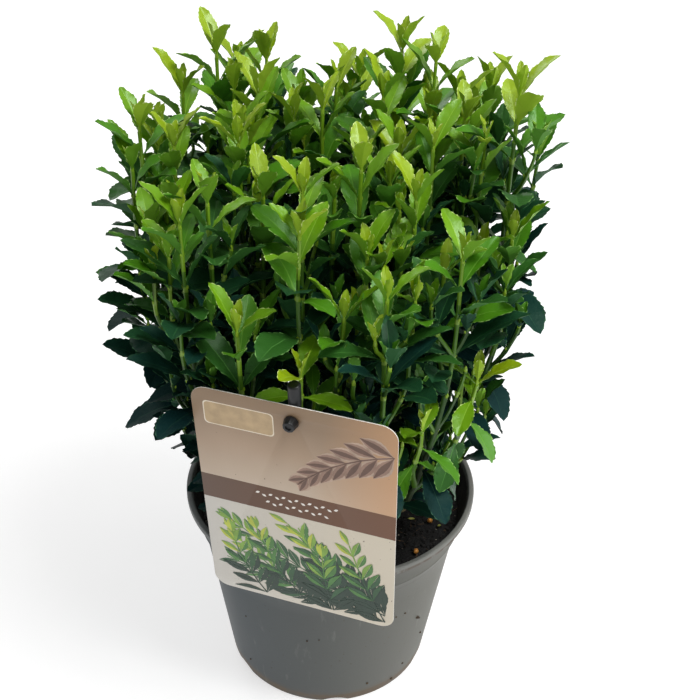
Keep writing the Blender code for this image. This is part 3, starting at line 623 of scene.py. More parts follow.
def young_bark(looks):
    """Young bark: green under grey-brown cork that splits lengthwise, browner towards the soil."""
    material, tree, shader = new_material("Young bark", looks.bark, 0.7)
    ridges = grain(tree, 1.429, 5.0, (1.0, 1.0, 0.14))
    lenticels = grain(tree, 0.9091, 1.0, (1.0, 1.0, 0.5))
    base = coat(tree, looks.bark, looks.old_bark, zone(tree, "Z", (COMPOST_TOP + 0.045, COMPOST_TOP)))
    base = coat(tree, base, "#8a7c5c", (ridges, 0.42, 0.62), 0.75)
    base = coat(tree, base, "#b3a482", (lenticels, 0.68, 0.72), 0.8)
    surface(tree, shader, base, relief=(ridges, 0.6, 0.0006))
    return material


def card_print(looks):
    """Offset print under gloss lacquer: a soft gradient over a brown band and a pale lower part."""
    material, tree, shader = new_material("Lacquered print", looks.middle, **LACQUER)
    uv = add(tree, "ShaderNodeUVMap", uv_map="card")
    split = add(tree, "ShaderNodeSeparateXYZ", {"Vector": uv})
    across, up = split.outputs["X"], split.outputs["Y"]
    # In millimetres: clouds of the gradient, specks of dust, and the raster of the print, which is
    # drawn coarser than its real 0.15 mm so that it shows at all
    clouds, specks, dots = (
        add(tree, "ShaderNodeTexNoise", {"Vector": uv, "Scale": CARD_WIDTH * 1000 / size, "Detail": detail})
        for size, detail in ((42.08, 2.0), (1.683, 1.0), (0.2405, 1.0)))
    drift = add(tree, "ShaderNodeMath", {0: clouds, 1: 0.16, 2: up}, operation="MULTIPLY_ADD")
    slant = add(tree, "ShaderNodeMath", {0: up, 1: -0.25, 2: across}, operation="MULTIPLY_ADD")
    upper = coat(tree, looks.middle, "#a9917a", (drift, 0.62, 0.84))
    upper = coat(tree, upper, looks.top, (drift, 0.84, 1.0))
    upper = coat(tree, upper, "#cb9a6e", (slant, 0.42, 0.80), 0.65)
    base = coat(tree, "#c6c2ba", looks.lower, (across, 0.0, 0.8))
    for color, edge in zip((coat(tree, "#593f2e", looks.band, across), upper), CARD_BAND):
        above = add(tree, "ShaderNodeMath", {0: up, 1: edge}, operation="GREATER_THAN")
        base = coat(tree, base, color, above)
    base = coat(tree, base, dots, 0.06, blend="OVERLAY")
    surface(tree, shader, coat(tree, base, "#57493d", (specks, 0.76, 0.79), 0.7))
    return material


def printed_ink(name, hex_color):
    """One ink of the card's picture, under the same lacquer."""
    material, tree, shader = new_material(name, linear(hex_color), **LACQUER)
    surface(tree, shader, coat(tree, hex_color, grain(tree, 5.556, 3.0), 0.35, blend="OVERLAY"))
    return material


def card_core(looks):
    """White polystyrene sheet: the card's own plastic, seen along its cut edge and on its back."""
    material, tree, shader = new_material("White polystyrene sheet", looks.core, 0.45)
    surface(tree, shader, coat(tree, looks.core, grain(tree, 4.167, 3.0), 0.08, blend="OVERLAY"))
    return material


def leaf_materials(looks):
    """One material a tone and role: waxy blade, pale midrib and teeth, and matt underside."""
    materials = []
    for step, (tone, *colors) in enumerate(TONES):
        old = step / (len(TONES) - 1)
        for role, color in zip(ROLES, colors):
            waxy = role == "blade"
            material, tree, shader = new_material(
                f"Waxy {tone} {role}", linear(color), looks.gloss + 0.14 * old if waxy else 0.6,
                Specular_IOR_Level=0.60 - 0.46 * old if waxy else 0.25 - 0.15 * old,
                Specular_Tint=WAX_TINT, Coat_Weight=0.36 - 0.36 * old if waxy else 0.0,
                Coat_Roughness=0.30)
            if waxy:
                # The net of side veins, a little over 3 mm apart, stands out of the blade
                surface(tree, shader, relief=(grain(tree, 3.333, roughness=0.6), 0.5, 0.0010))
            materials.append(material)
    return materials


def twig_materials():
    """Green shoots that turn duller and browner downwards, with pale collars at their nodes."""
    materials = []
    for name, color in TWIG_TONES:
        material, tree, shader = new_material(f"Shoot {name}", linear(color), 0.42)
        # Ridges along the shoot, drawn at about twice their real 0.3 mm so that they show
        surface(tree, shader, relief=(grain(tree, 0.6667, 3.0, (1.0, 1.0, 0.08)), 0.3, 0.0002))
        materials.append(material)
    return materials


def finish_mesh(mesh, materials=()):
    """Gives a mesh its materials, and smooth shading with its sharp edges kept."""
    for material in materials:
        mesh.materials.append(material)
    mesh.shade_smooth()
    mesh.set_sharp_from_angle(angle=SHARP_ANGLE)


def loose_object(name, data):
    """An object in the scene, with its mesh, curve, light or camera."""
    item = bpy.data.objects.new(name, data)
    bpy.context.scene.collection.objects.link(item)
    return item


def mesh_of(name, points, faces, edges=()):
    mesh = bpy.data.meshes.new(name)
    mesh.from_pydata(points, edges, faces)
    return mesh


def heading(angle):
    """The direction at this angle from X."""
    return Vector((math.cos(angle), math.sin(angle)))


def add_piece(name, mesh, slot, *nodes):
    """A piece of the finished part, which rides on the one body and stands for the nodes named."""
    piece = loose_object(name, mesh)
    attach(piece, BODY)
    if nodes:
        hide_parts(*nodes)
    return piece


def evaluated_mesh(item):
    """A new mesh of an object with its modifiers."""
    depsgraph = bpy.context.evaluated_depsgraph_get()
    return bpy.data.meshes.new_from_object(item.evaluated_get(depsgraph), depsgraph=depsgraph)


def applied_mesh(item):
    """The object's evaluated mesh in the part's frame; the object is removed."""
    bpy.context.view_layer.update()
    mesh = evaluated_mesh(item)
    mesh.transform(item.matrix_world)
    bpy.data.objects.remove(item, do_unlink=True)
    return mesh


def mesh_from_bmesh(name, shape):
    mesh = bpy.data.meshes.new(name)
    shape.to_mesh(mesh)
    shape.free()
    return mesh


def turned_mesh(name, profile, steps):
    """A profile of (radius, height) points turned about Z."""
    mesh = mesh_of(name, [(radius, 0.0, height) for radius, height in profile], [],
                   [(i, i + 1) for i in range(len(profile) - 1)])
    item = loose_object(name, mesh)
    screw = item.modifiers.new("Turn", "SCREW")
    screw.angle = math.tau
    screw.steps = screw.render_steps = steps
    screw.use_merge_vertices = True
    screw.merge_threshold = 0.00001
    return applied_mesh(item)


def arc(centre, radius, start, end, steps):
    """Points of an arc in a profile, its angles in degrees."""
    return [(centre[0] + radius * math.cos(math.radians(start + (end - start) * i / steps)),
             centre[1] + radius * math.sin(math.radians(start + (end - start) * i / steps)))
            for i in range(steps + 1)]


def pot_inner_radius(height):
    """Radius of the pot's inner wall, which narrows below the collar more gently than above it."""
    collar_inner = COLLAR_FOOT_RADIUS - BODY_STEP - WALL
    base_inner = BASE_RADIUS - WALL
    if height > COLLAR_FOOT:
        widening = LIP_RADIUS - LIP_WIDTH - collar_inner
        return collar_inner + (height - COLLAR_FOOT) / COLLAR_HEIGHT * widening
    return base_inner + (height - FLOOR) / (COLLAR_FOOT - FLOOR) * (collar_inner - base_inner)


def pot_outer_radius(height):
    """Radius of the pot's outside below its lip."""
    if height > COLLAR_FOOT:
        return COLLAR_FOOT_RADIUS + (height - COLLAR_FOOT) / COLLAR_HEIGHT * COLLAR_WIDENING
    share = (height - BASE_ROUNDING) / (COLLAR_FOOT - BODY_STEP - BASE_ROUNDING)
    return BASE_RADIUS + share * (COLLAR_FOOT_RADIUS - BODY_STEP - BASE_RADIUS)


def pot_profile():
    """The pot's section from the middle of its floor up the inside, over the lip and down outside."""
    inner_lip = LIP_RADIUS - LIP_WIDTH
    lip_under = POT_HEIGHT - LIP_DEPTH
    rise = [FLOOR + (COLLAR_FOOT - FLOOR) * i / 6 for i in range(7)]
    profile = [(0.0, FLOOR)] + [(pot_inner_radius(height), height) for height in rise]
    profile += arc((inner_lip + LIP_ROUNDING, POT_HEIGHT - LIP_ROUNDING), LIP_ROUNDING, 180, 90, 4)
    profile += arc((LIP_RADIUS - LIP_ROUNDING, POT_HEIGHT - LIP_ROUNDING), LIP_ROUNDING, 90, 0, 4)
    profile += arc((LIP_RADIUS - EDGE, lip_under + 0.0002), EDGE, 0, -80, 3)
    profile += arc((LIP_RADIUS - LIP_OVERHANG + EDGE, lip_under - LIP_ROUNDING), EDGE, 100, 180, 3)
    # A fine moulded line runs round the collar, and a rounded step ends it
    ring = COLLAR_FOOT + RING_RISE
    ring_radius = COLLAR_FOOT_RADIUS + RING_RISE / COLLAR_HEIGHT * COLLAR_WIDENING
    profile += [(ring_radius + 0.0001, ring + EDGE), (ring_radius + RING_HEIGHT, ring),
                (ring_radius - 0.0001, ring - EDGE)]
    profile += arc((COLLAR_FOOT_RADIUS - STEP_ROUNDING, COLLAR_FOOT + STEP_ROUNDING), STEP_ROUNDING,
                   0, -75, 3)
    top_radius, top = COLLAR_FOOT_RADIUS - BODY_STEP, COLLAR_FOOT - BODY_STEP
    profile += [(top_radius + (BASE_RADIUS - top_radius) * i / 7, top + (BASE_ROUNDING - top) * i / 7)
                for i in range(7)]
    profile += arc((BASE_RADIUS - BASE_ROUNDING, BASE_ROUNDING), BASE_ROUNDING, 0, -90, 4)
    return profile + [(0.0, 0.0)]


def cut_notches(pot):
    """Cuts the arched drain notches out of the foot of the pot with one Boolean."""
    arch_radius = (NOTCH_WIDTH ** 2 / 4 + NOTCH_HEIGHT ** 2) / (2 * NOTCH_HEIGHT)
    notches = bpy.data.collections.new("Drain notches")
    for i in range(NOTCH_COUNT):
        shape = bmesh.new()
        bmesh.ops.create_cone(shape, cap_ends=True, segments=96, radius1=arch_radius,
                              radius2=arch_radius, depth=NOTCH_LENGTH)
        azimuth = FIRST_NOTCH + i * math.tau / NOTCH_COUNT
        place = (*heading(azimuth) * BASE_RADIUS, NOTCH_HEIGHT - arch_radius)
        shape.transform(Matrix.Translation(place) @ Matrix.Rotation(azimuth, 4, "Z")
                        @ Matrix.Rotation(math.pi / 2, 4, "Y"))
        notches.objects.link(bpy.data.objects.new(f"notch_{i}", mesh_from_bmesh("notch", shape)))
    cut = pot.modifiers.new("Drain notches", "BOOLEAN")
    cut.operation = "DIFFERENCE"
    cut.operand_type = "COLLECTION"
    cut.collection = notches
    mesh = applied_mesh(pot)
    for cutter in list(notches.objects):
        bpy.data.objects.remove(cutter, do_unlink=True)
    bpy.data.collections.remove(notches)
    return mesh


class SPINDLE_OT_pot(bpy.types.Operator):
    """Build the turned pot with its lip, collar and drain notches"""

    bl_idname = "spindle.pot"
    bl_label = "Build Pot"

    def execute(self, context):
        looks = context.scene.spindle_pot
        mesh = cut_notches(loose_object("pot_blank", turned_mesh("pot_shell", pot_profile(), looks.steps)))
        mesh.materials.clear()
        finish_mesh(mesh, [pot_plastic(looks), dark_inner_plastic()])
        # The inner wall takes the nearly black material, which turns grey again a little under the lip
        for face in mesh.polygons:
            middle = face.center
            inward = face.normal.xy.dot(middle.xy) < -0.5 * middle.xy.length
            face.material_index = int(inward and middle.z > FLOOR + 0.001)
        add_piece("pot_shell", mesh, "pot", "pot")
        return {"FINISHED"}


# Places on the compost in view: yellowed leaf ends with their lengths, and fertiliser grains
FALLEN_ENDS = ((0.0706, -0.0060, 0.0060), (0.0551, -0.0129, 0.0050), (0.0640, -0.0250, 0.0038),
               (0.0480, -0.0200, 0.0042), (-0.0610, 0.0250, 0.0050), (-0.0300, 0.0600, 0.0048),
               (0.0200, 0.0650, 0.0055), (0.0640, 0.0250, 0.0044))
GRAINS = ((0.0587, -0.0217), (0.0495, -0.0480), (-0.0650, 0.0100), (0.0050, 0.0700), (0.0610, 0.0330))
# One of those ends in its own length: points along it and aside from its middle
LEAF_END = ((-0.5, 0), (-0.15, 0.45), (0.25, 0.38), (0.5, 0), (0.2, -0.36), (-0.2, -0.42))
# They lie on the crumbs, this far above the compost
LITTER_RISE = 0.0022
LITTER_CURL = 0.0009
LEAF_END_WIDTH = 0.42
LITTER_THICKNESS = 0.0004
GRAIN_RISE = 0.0030
GRAIN_RADII = (0.0016, 0.0016, 0.0015)
LUMP_SWELL = 0.28
# Azimuth in degrees, height and size of each crumb that dried on the pot's outside
POT_SPLASHES = ((-51.0, 0.0706, 0.0007), (-56.3, 0.0714, 0.0006), (-40.0, 0.0560, 0.0012),
                (-38.2, 0.0535, 0.0008), (-30.1, 0.0307, 0.0008), (-98.5, 0.0604, 0.0006),
                (-92.9, 0.0626, 0.0005), (-66.6, 0.0130, 0.0008), (-50.0, 0.0056, 0.0010),
                (-136.1, 0.0149, 0.0006), (-131.7, 0.0609, 0.0005), (-42.9, 0.0143, 0.0007),
                (35.0, 0.0420, 0.0009), (118.0, 0.0660, 0.0008), (160.0, 0.0240, 0.0007))


def lump(place, radii):
    """Points and faces of a small uneven lump."""
    shape = bmesh.new()
    bmesh.ops.create_icosphere(shape, subdivisions=2, radius=1.0)
    points = []
    for vertex in shape.verts:
        swell = 1.0 + LUMP_SWELL * noise.noise(vertex.co * 1.7 + place * 900.0)
        points.append(place + Vector(a * b for a, b in zip(vertex.co, radii)) * swell)
    faces = [tuple(vertex.index for vertex in face.verts) for face in shape.faces]
    shape.free()
    return points, faces


def scatter_tree(name, make_crumb, material):
    """Geometry Nodes that strew one kind of crumb over the faces of a bed."""
    tree = bpy.data.node_groups.new(name, "GeometryNodeTree")
    sockets = tree.interface
    for label, kind in (("Bed", "Geometry"), ("Density", "Float"), ("Size", "Float"), ("Spread", "Float"),
                        ("Seed", "Int")):
        sockets.new_socket(label, in_out="INPUT", socket_type="NodeSocket" + kind)
    sockets.new_socket("Crumbs", in_out="OUTPUT", socket_type="NodeSocketGeometry")
    given = add(tree, "NodeGroupInput").outputs
    points = add(tree, "GeometryNodeDistributePointsOnFaces", {
        "Mesh": given["Bed"], "Density": given["Density"], "Seed": given["Seed"]})
    turn = add(tree, "FunctionNodeRandomValue", {0: (0.0, 0.0, 0.0), 1: (0.5, 0.5, math.tau),
                                                 "Seed": given["Seed"]}, data_type="FLOAT_VECTOR")
    least = add(tree, "ShaderNodeMath", {0: given["Size"], 1: given["Spread"]}, operation="DIVIDE")
    size = add(tree, "FunctionNodeRandomValue", {2: least, 3: given["Size"], "Seed": given["Seed"]},
               data_type="FLOAT")
    placed = add(tree, "GeometryNodeInstanceOnPoints", {
        "Points": points, "Instance": make_crumb(tree), "Rotation": turn.outputs["Value"],
        "Scale": size.outputs["Value"]})
    real = add(tree, "GeometryNodeRealizeInstances", {"Geometry": placed})
    # Bumps a little over 1 mm apart push the surface about, by 0.6 mm at most
    rough = add(tree, "ShaderNodeTexNoise", {"Scale": 900.0, "Detail": 1.0})
    centred = add(tree, "ShaderNodeVectorMath", {0: rough.outputs["Color"], 1: (0.5, 0.5, 0.5)},
                  operation="SUBTRACT")
    push = add(tree, "ShaderNodeVectorMath", {0: centred, "Scale": 0.0012}, operation="SCALE")
    moved = add(tree, "GeometryNodeSetPosition", {"Geometry": real, "Offset": push})
    painted = add(tree, "GeometryNodeSetMaterial", {"Geometry": moved, "Material": material})
    add(tree, "NodeGroupOutput", {"Crumbs": painted})
    return tree


def round_crumb(tree):
    return add(tree, "GeometryNodeMeshIcoSphere", {"Radius": 0.5, "Subdivisions": 2})


def chunk_crumb(tree):
    ball = add(tree, "GeometryNodeMeshIcoSphere", {"Radius": 0.5, "Subdivisions": 1})
    return add(tree, "GeometryNodeTransform", {"Geometry": ball, "Scale": (1.0, 0.75, 0.6)})


def fibre_crumb(tree):
    rod = add(tree, "GeometryNodeMeshCylinder", {"Vertices": 5, "Side Segments": 4, "Radius": 0.022,
                                                 "Depth": 1.0})
    return add(tree, "GeometryNodeTransform", {"Geometry": rod, "Rotation": (math.pi / 2, 0.12, 0.0)})


def strewn_mesh(bed, tree, values):
    """The crumbs that the tree strews over the bed, as a plain mesh."""
    strew = bed.modifiers.new("Strew", "NODES")
    strew.node_group = tree
    for item in tree.interface.items_tree:
        if item.name in values:
            strew[item.identifier] = values[item.name]
    bpy.context.view_layer.update()
    mesh = evaluated_mesh(bed)
    bed.modifiers.remove(strew)
    return mesh


def compost_height(x, y, relief):
    """Height of the compost's bumpy top, which settles towards the pot's wall."""
    edge = pot_inner_radius(COMPOST_TOP)
    sunk = COMPOST_EDGE_DROP * max(math.hypot(x, y) / edge - EDGE_START, 0.0) / (1.0 - EDGE_START)
    bumps = noise.fractal(Vector((x, y, 0.0)) * BUMPS, 1.0, 2.0, 5) * relief * 1.6
    return COMPOST_TOP - 0.0005 - sunk + bumps


def top_points(edge, rings, steps, relief):
    """Points of the compost's bumpy top: its middle, then ring by ring out to the edge."""
    points = [(0.0, 0.0, compost_height(0.0, 0.0, relief))]
    for ring in range(1, rings + 1):
        for step in range(steps):
            turn = step / steps * math.tau
            x, y = edge * ring / rings * math.cos(turn), edge * ring / rings * math.sin(turn)
            points.append((x, y, compost_height(x, y, relief)))
    return points


def ringed_mesh(name, points, rings, steps, closed):
    """A mesh of a middle point and the rings round it, closed by its last point if asked."""
    faces = [(0, 1 + step, 1 + (step + 1) % steps) for step in range(steps)]
    for ring in range(rings - 1):
        for step in range(steps):
            a, b = 1 + ring * steps + step, 1 + ring * steps + (step + 1) % steps
            faces.append((a, a + steps, b + steps, b))
    if closed:
        base = 1 + (rings - 1) * steps
        faces += [(base + (step + 1) % steps, base + step, len(points) - 1) for step in range(steps)]
    return mesh_of(name, points, faces)


def compost_mesh(relief, rings=44, steps=132):
    """The compost as one closed body: a bumpy top, and sides along the pot's wall."""
    points = top_points(pot_inner_radius(COMPOST_TOP - COMPOST_EDGE_DROP) - CLEAR, rings, steps, relief)
    wall = (COMPOST_TOP - 0.012, COLLAR_FOOT, FLOOR + CLEAR)
    for height in wall:
        radius = pot_inner_radius(height) - CLEAR
        points += [(*heading(step / steps * math.tau) * radius, height) for step in range(steps)]
    points.append((0.0, 0.0, FLOOR + CLEAR))
    return ringed_mesh("compost_body", points, rings + len(wall), steps, True)


def bed_mesh(relief, rings=20, steps=48):
    """The part of the compost's top that crumbs lie on."""
    points = top_points(pot_inner_radius(COMPOST_TOP) - BED_MARGIN, rings, steps, relief)
    return ringed_mesh("bed", points, rings, steps, False)


class SPINDLE_OT_compost(bpy.types.Operator):
    """Build the compost and strew its crumbs, fibres and fertiliser grains"""

    bl_idname = "spindle.compost"
    bl_label = "Build Compost"

    def execute(self, context):
        looks = context.scene.spindle_pot
        mesh = compost_mesh(looks.relief)
        finish_mesh(mesh, [wet_peat(looks)])
        add_piece("compost_body", mesh, "compost", "compost")
        bed = loose_object("bed", bed_mesh(looks.relief))
        kinds = (
            ("crumbs", chunk_crumb, crumb_finish("Peat crumb", "#070708", "#181513", 0.80),
             {"Density": looks.crumbs, "Size": 0.0042, "Spread": 5.0, "Seed": 3}),
            ("fibres", fibre_crumb, crumb_finish("Peat fibre", "#2a1f17", "#7c6144", 0.75),
             {"Density": 26000.0, "Size": 0.0085, "Spread": 3.0, "Seed": 8}),
            ("grit", chunk_crumb, crumb_finish("Pale grit", "#8d8372", "#c9c0ad", 0.7),
             {"Density": 7000.0, "Size": 0.0012, "Spread": 2.0, "Seed": 21}),
            ("prills", round_crumb, crumb_finish("Fertiliser prill", "#a8661f", "#d6933c", 0.35),
             {"Density": 700.0, "Size": 0.0031, "Spread": 1.2, "Seed": 5}),
        )
        for name, make_crumb, material, values in kinds:
            strewn = strewn_mesh(bed, scatter_tree("Strew " + name, make_crumb, material), values)
            finish_mesh(strewn)
            add_piece("compost_" + name, strewn, "compost")
        bpy.data.objects.remove(bed, do_unlink=True)
        self.add_flakes(looks)
        self.add_splashes()
        return {"FINISHED"}

    def add_flakes(self, looks):
        """A few fallen, yellowed leaf ends and grains of fertiliser on the compost that stays in view."""
        litter = Gathered()
        for i, (x, y, length) in enumerate(FALLEN_ENDS):
            bed = Vector((x, y, compost_height(x, y, looks.relief) + LITTER_RISE))
            turn = Matrix.Rotation(i * 2.1, 3, "Z")
            width, curl = length * LEAF_END_WIDTH, LITTER_CURL * (i % 3)
            outline = [Vector((along * length, aside * width, curl * along)) for along, aside in LEAF_END]
            top = [bed + turn @ point for point in outline]
            under = [point - Vector((0, 0, LITTER_THICKNESS)) for point in top]
            sides = [(k, (k + 1) % 6, 6 + (k + 1) % 6, 6 + k) for k in range(6)]
            litter.add(top + under, [tuple(range(6))[::-1], tuple(range(6, 12))] + sides, 0)
        for x, y in GRAINS:
            bed = Vector((x, y, compost_height(x, y, looks.relief) + GRAIN_RISE))
            litter.add(*lump(bed, GRAIN_RADII), 1)
        add_piece("compost_litter", litter.mesh("compost_litter", [
            crumb_finish("Yellowed leaf end", "#8f9a3c", "#c9c66a", 0.5),
            crumb_finish("Fertiliser grain", "#b06a26", "#dc9a48", 0.35)]), "compost")

    def add_splashes(self):
        """Crumbs of soil that dried on the outside of the pot."""
        crumbs = Gathered()
        for azimuth, height, size in POT_SPLASHES:
            turn = math.radians(azimuth)
            place = Vector((*heading(turn) * pot_outer_radius(height), height))
            crumbs.add(*lump(place, (size, size, size * 0.8)), 0)
        add_piece("compost_splashes", crumbs.mesh("compost_splashes", [
            crumb_finish("Dried soil crumb", "#241d17", "#5a4a38", 0.9)]), "compost")


# The card's print: the band's edges as shares of the height, then the picture's layers and margins
CARD_BAND = (0.485, 0.600)
PRINT_DEPTH = 0.00004
PRINT_RISE = 0.00002
PRINT_LAYER = 0.000003
PRINT_MARGIN = 0.0010
BAND_MARGIN = 0.0015
STEM_HALF_WIDTH = 0.0004
STEM_END_HALF_WIDTH = 0.0003
# The bare panel: its place, its corner, and the ink, width and height of its rim and its middle
PANEL_PLACE = (-0.0270, 0.0555)
PANEL_CORNER = 0.0022
PANEL_LAYERS = ((8, 0.0355, 0.0140), (9, 0.0345, 0.0130))
# The small leaves along the band: height above its middle and count of each row, gap and size
BAND_ROWS = ((0.0026, 13), (-0.0026, 10))
BAND_GAP = 0.0034
BAND_LEAF = (0.0026, 0.0012, 0.00003)
INKS = (("Ink forest", "#22392c"), ("Ink deep green", "#2f5635"), ("Ink green", "#4a7a3c"),
        ("Ink lime", "#7ba040"), ("Ink yellow green", "#b2bd45"), ("Ink pale shadow", "#b49b88"),
        ("Ink shadow", "#917464"), ("Ink umber", "#63493d"), ("Ink cream", "#e2d6c2"),
        ("Ink tan", "#b39a76"), ("Ink white", "#efeae2"))


def card_axes():
    """The card's directions: across it, up it, and out of its printed face."""
    out = Vector((math.sin(CARD_YAW) * math.cos(CARD_PITCH),
                  -math.cos(CARD_YAW) * math.cos(CARD_PITCH), math.sin(CARD_PITCH)))
    across = Vector((math.cos(CARD_YAW), math.sin(CARD_YAW), 0.0))
    return across, out.cross(across), out


def card_point(x, y, z=0.0):
    """A point of the card, from its middle: across, up and out of the printed face."""
    across, up, out = card_axes()
    stand_off = LIP_RADIUS * math.cos(CARD_PITCH) + CARD_THICKNESS / 2 + CLEAR
    return (Vector((0.0, 0.0, POT_HEIGHT)) + across * (CARD_SHIFT + x) + up * (CARD_RISE + y)
            + out * (stand_off + z))


def matrix_from_axes(origin, x_axis, y_axis, z_axis):
    return Matrix.Translation(origin) @ Matrix((x_axis, y_axis, z_axis)).transposed().to_4x4()


def card_matrix(height=0.0):
    """Carries what lies flat round the origin to the card, this far out of its middle plane."""
    return matrix_from_axes(card_point(0.0, 0.0, height), *card_axes())


def rounded_rectangle(width, height, corner, steps):
    """Outline of a rectangle round the origin with rounded corners."""
    points = []
    for quarter, (sx, sy) in enumerate(((1, 1), (-1, 1), (-1, -1), (1, -1))):
        centre = Vector((sx * (width / 2 - corner), sy * (height / 2 - corner)))
        for i in range(steps + 1):
            angle = math.pi / 2 * (quarter + i / steps)
            points.append(centre + corner * heading(angle))
    return points


def circle_points(centre, radius, steps):
    return [centre + radius * heading(i * math.tau / steps) for i in range(steps)]


def flat_mesh(name, outlines, thickness, bevel=0.0):
    """Flat outlines, holes among them, as a plate of the thickness round their plane."""
    curve = bpy.data.curves.new(name, "CURVE")
    curve.dimensions = "2D"
    curve.fill_mode = "BOTH"
    curve.extrude = thickness / 2 - bevel
    curve.bevel_depth = bevel
    curve.bevel_resolution = 1
    curve.offset = -bevel
    for outline in outlines:
        spline = curve.splines.new("POLY")
        spline.points.add(len(outline) - 1)
        for target, point in zip(spline.points, outline):
            target.co = (point[0], point[1], 0.0, 1.0)
        spline.use_cyclic_u = True
    mesh = applied_mesh(loose_object(name, curve))
    shape = bmesh.new()
    shape.from_mesh(mesh)
    bmesh.ops.remove_doubles(shape, verts=shape.verts, dist=0.000001)
    bmesh.ops.recalc_face_normals(shape, faces=shape.faces)
    shape.to_mesh(mesh)
    shape.free()
    mesh.materials.clear()
    return mesh


def printed_leaf(root, angle, length, width, gap=0.00012):
    """The two halves of a drawn leaf, from its root along the angle in radians."""
    forward = heading(angle)
    side = forward.orthogonal()
    halves = []
    for sign in (1, -1):
        edge = []
        for i in range(15):
            share = i / 14
            bulge = math.sin(math.pi * share ** 1.12) ** 1.15 * width / 2
            notch = 0.03 * width * (i % 2) * (0.25 < share < 0.95)
            edge.append(root + forward * (share * length) + side * sign * (bulge + notch + gap))
        middle = [root + forward * (length * (1 - i / 3)) + side * sign * gap for i in range(1, 3)]
        outline = edge + middle
        halves.append(outline if sign < 0 else outline[::-1])
    return halves


def lay(shapes, ink, level, outline, low, high):
    """Adds an outline to the picture if it keeps inside the card's margins and between two heights."""
    half = CARD_WIDTH / 2 - PRINT_MARGIN
    corner = Vector((CARD_WIDTH / 2 - CARD_CORNER, CARD_HEIGHT / 2 - CARD_CORNER))
    for point in outline:
        past = Vector((max(abs(point.x) - corner.x, 0.0), max(abs(point.y) - corner.y, 0.0)))
        if abs(point.x) > half or not low < point.y < high or past.length > CARD_CORNER - PRINT_MARGIN:
            return
    shapes.append((ink, level, [outline]))


def arched_stem(start, angle, turn, length, count):
    """Points and directions along a stem that turns evenly from its start angle."""
    place, steps = Vector(start), []
    for i in range(count + 1):
        steps.append((place.copy(), angle + turn * i / count))
        place += heading(angle + turn * (i + 0.5) / count) * length / count
    return steps


def stem_piece(start, end, angle, start_half, end_half):
    """Outline of a straight piece of a printed stem, with its half widths."""
    side = heading(angle).orthogonal()
    return [start - side * start_half, end - side * end_half, end + side * end_half,
            start + side * start_half]


def print_spray(rng, start, angle, turn, length, pairs, leaf, level, tones, low, high, shapes):
    """Prints one arched spray: its stem, then its leaf pairs from the foot to the tip."""
    steps = arched_stem(start, angle, turn, length, pairs)
    for i, (place, ahead) in enumerate(steps):
        share = i / pairs
        if i < pairs:
            stem = stem_piece(place, steps[i + 1][0], ahead, STEM_HALF_WIDTH,
                              STEM_END_HALF_WIDTH)
            lay(shapes, tones[min(i * len(tones) // (pairs + 1), len(tones) - 1)], level, stem, low, high)
        size = leaf * (1.0 - 0.45 * share) * rng.uniform(0.9, 1.1)
        spread = 0.95 - 0.45 * share
        ends = (1, -1) if i < pairs else (0.5, -0.5, 0)
        for k, sign in enumerate(ends):
            halves = printed_leaf(place, ahead + sign * (spread + rng.uniform(-0.12, 0.12)), size,
                                  size * (0.29 + 0.04 * k))
            tone = min(max(int(share * len(tones) + rng.uniform(-0.7, 0.9)), 0), len(tones) - 1)
            for half, outline in enumerate(halves):
                lay(shapes, tones[max(tone - half, 0)], level + 1 + i % 2 + k, outline, low, high)


def print_sprays(shapes):
    """The lower picture: leafy sprays that fan out from the lower right corner, dark at their feet."""
    rng = random.Random(SEED)
    low, high = -CARD_HEIGHT / 2 + PRINT_MARGIN, CARD_HEIGHT * (CARD_BAND[0] - 0.5) - BAND_MARGIN
    # Start, angle and turn of each stem, its length, leaf pairs, leaf size, layer and inks
    fans = (
        ((0.042, -0.065), 2.99, -0.16, 0.086, 12, 0.0190, 0, (0, 0, 0, 1, 1, 2)),
        ((0.046, -0.061), 2.78, -0.28, 0.094, 13, 0.0195, 8, (0, 0, 1, 1, 2, 3)),
        ((0.016, -0.067), 2.62, -0.25, 0.060, 8, 0.0190, 16, (0, 0, 1, 2, 3, 4)),
        ((0.046, -0.056), 2.60, -0.45, 0.078, 10, 0.0190, 24, (0, 0, 1, 2, 3, 4)),
        ((0.004, -0.067), 2.30, -0.45, 0.056, 7, 0.0185, 32, (0, 0, 1, 2, 3, 4)),
        ((0.036, -0.067), 2.30, -0.34, 0.068, 9, 0.0190, 40, (0, 0, 1, 2, 3, 4)),
        ((-0.020, -0.067), 2.20, -0.50, 0.046, 6, 0.0180, 48, (0, 1, 2, 3, 4)),
        ((0.046, -0.066), 2.02, -0.20, 0.056, 7, 0.0185, 56, (0, 1, 2, 3, 4)),
        ((0.018, -0.067), 1.84, -0.25, 0.040, 5, 0.0180, 64, (0, 1, 2, 3, 4)),
    )
    for fan in fans:
        print_spray(rng, *fan, low, high, shapes)


def print_branch(shapes):
    """The upper picture: the soft brown shadow of a slender-leaved branch that hangs in from the right."""
    low, high = CARD_HEIGHT * (CARD_BAND[1] - 0.5) + BAND_MARGIN, CARD_HEIGHT / 2 - PRINT_MARGIN
    steps = arched_stem((0.049, 0.052), math.radians(196), math.radians(34), 0.058, 7)
    for level, (ink, fat) in enumerate(((5, 1.7), (6, 1.2), (7, 0.6))):
        for i, (place, ahead) in enumerate(steps):
            if i < len(steps) - 1:
                half = STEM_HALF_WIDTH * fat
                stem = stem_piece(place, steps[i + 1][0], ahead, half, half)
                lay(shapes, ink, level, stem, low, high)
            for sign in (1, -1):
                length = 0.0185 - 0.0012 * i
                for outline in printed_leaf(place, ahead + sign * (0.72 - 0.06 * i), length,
                                            0.0050 * fat - 0.0002 * i, 0.0):
                    lay(shapes, ink, level, outline, low, high)


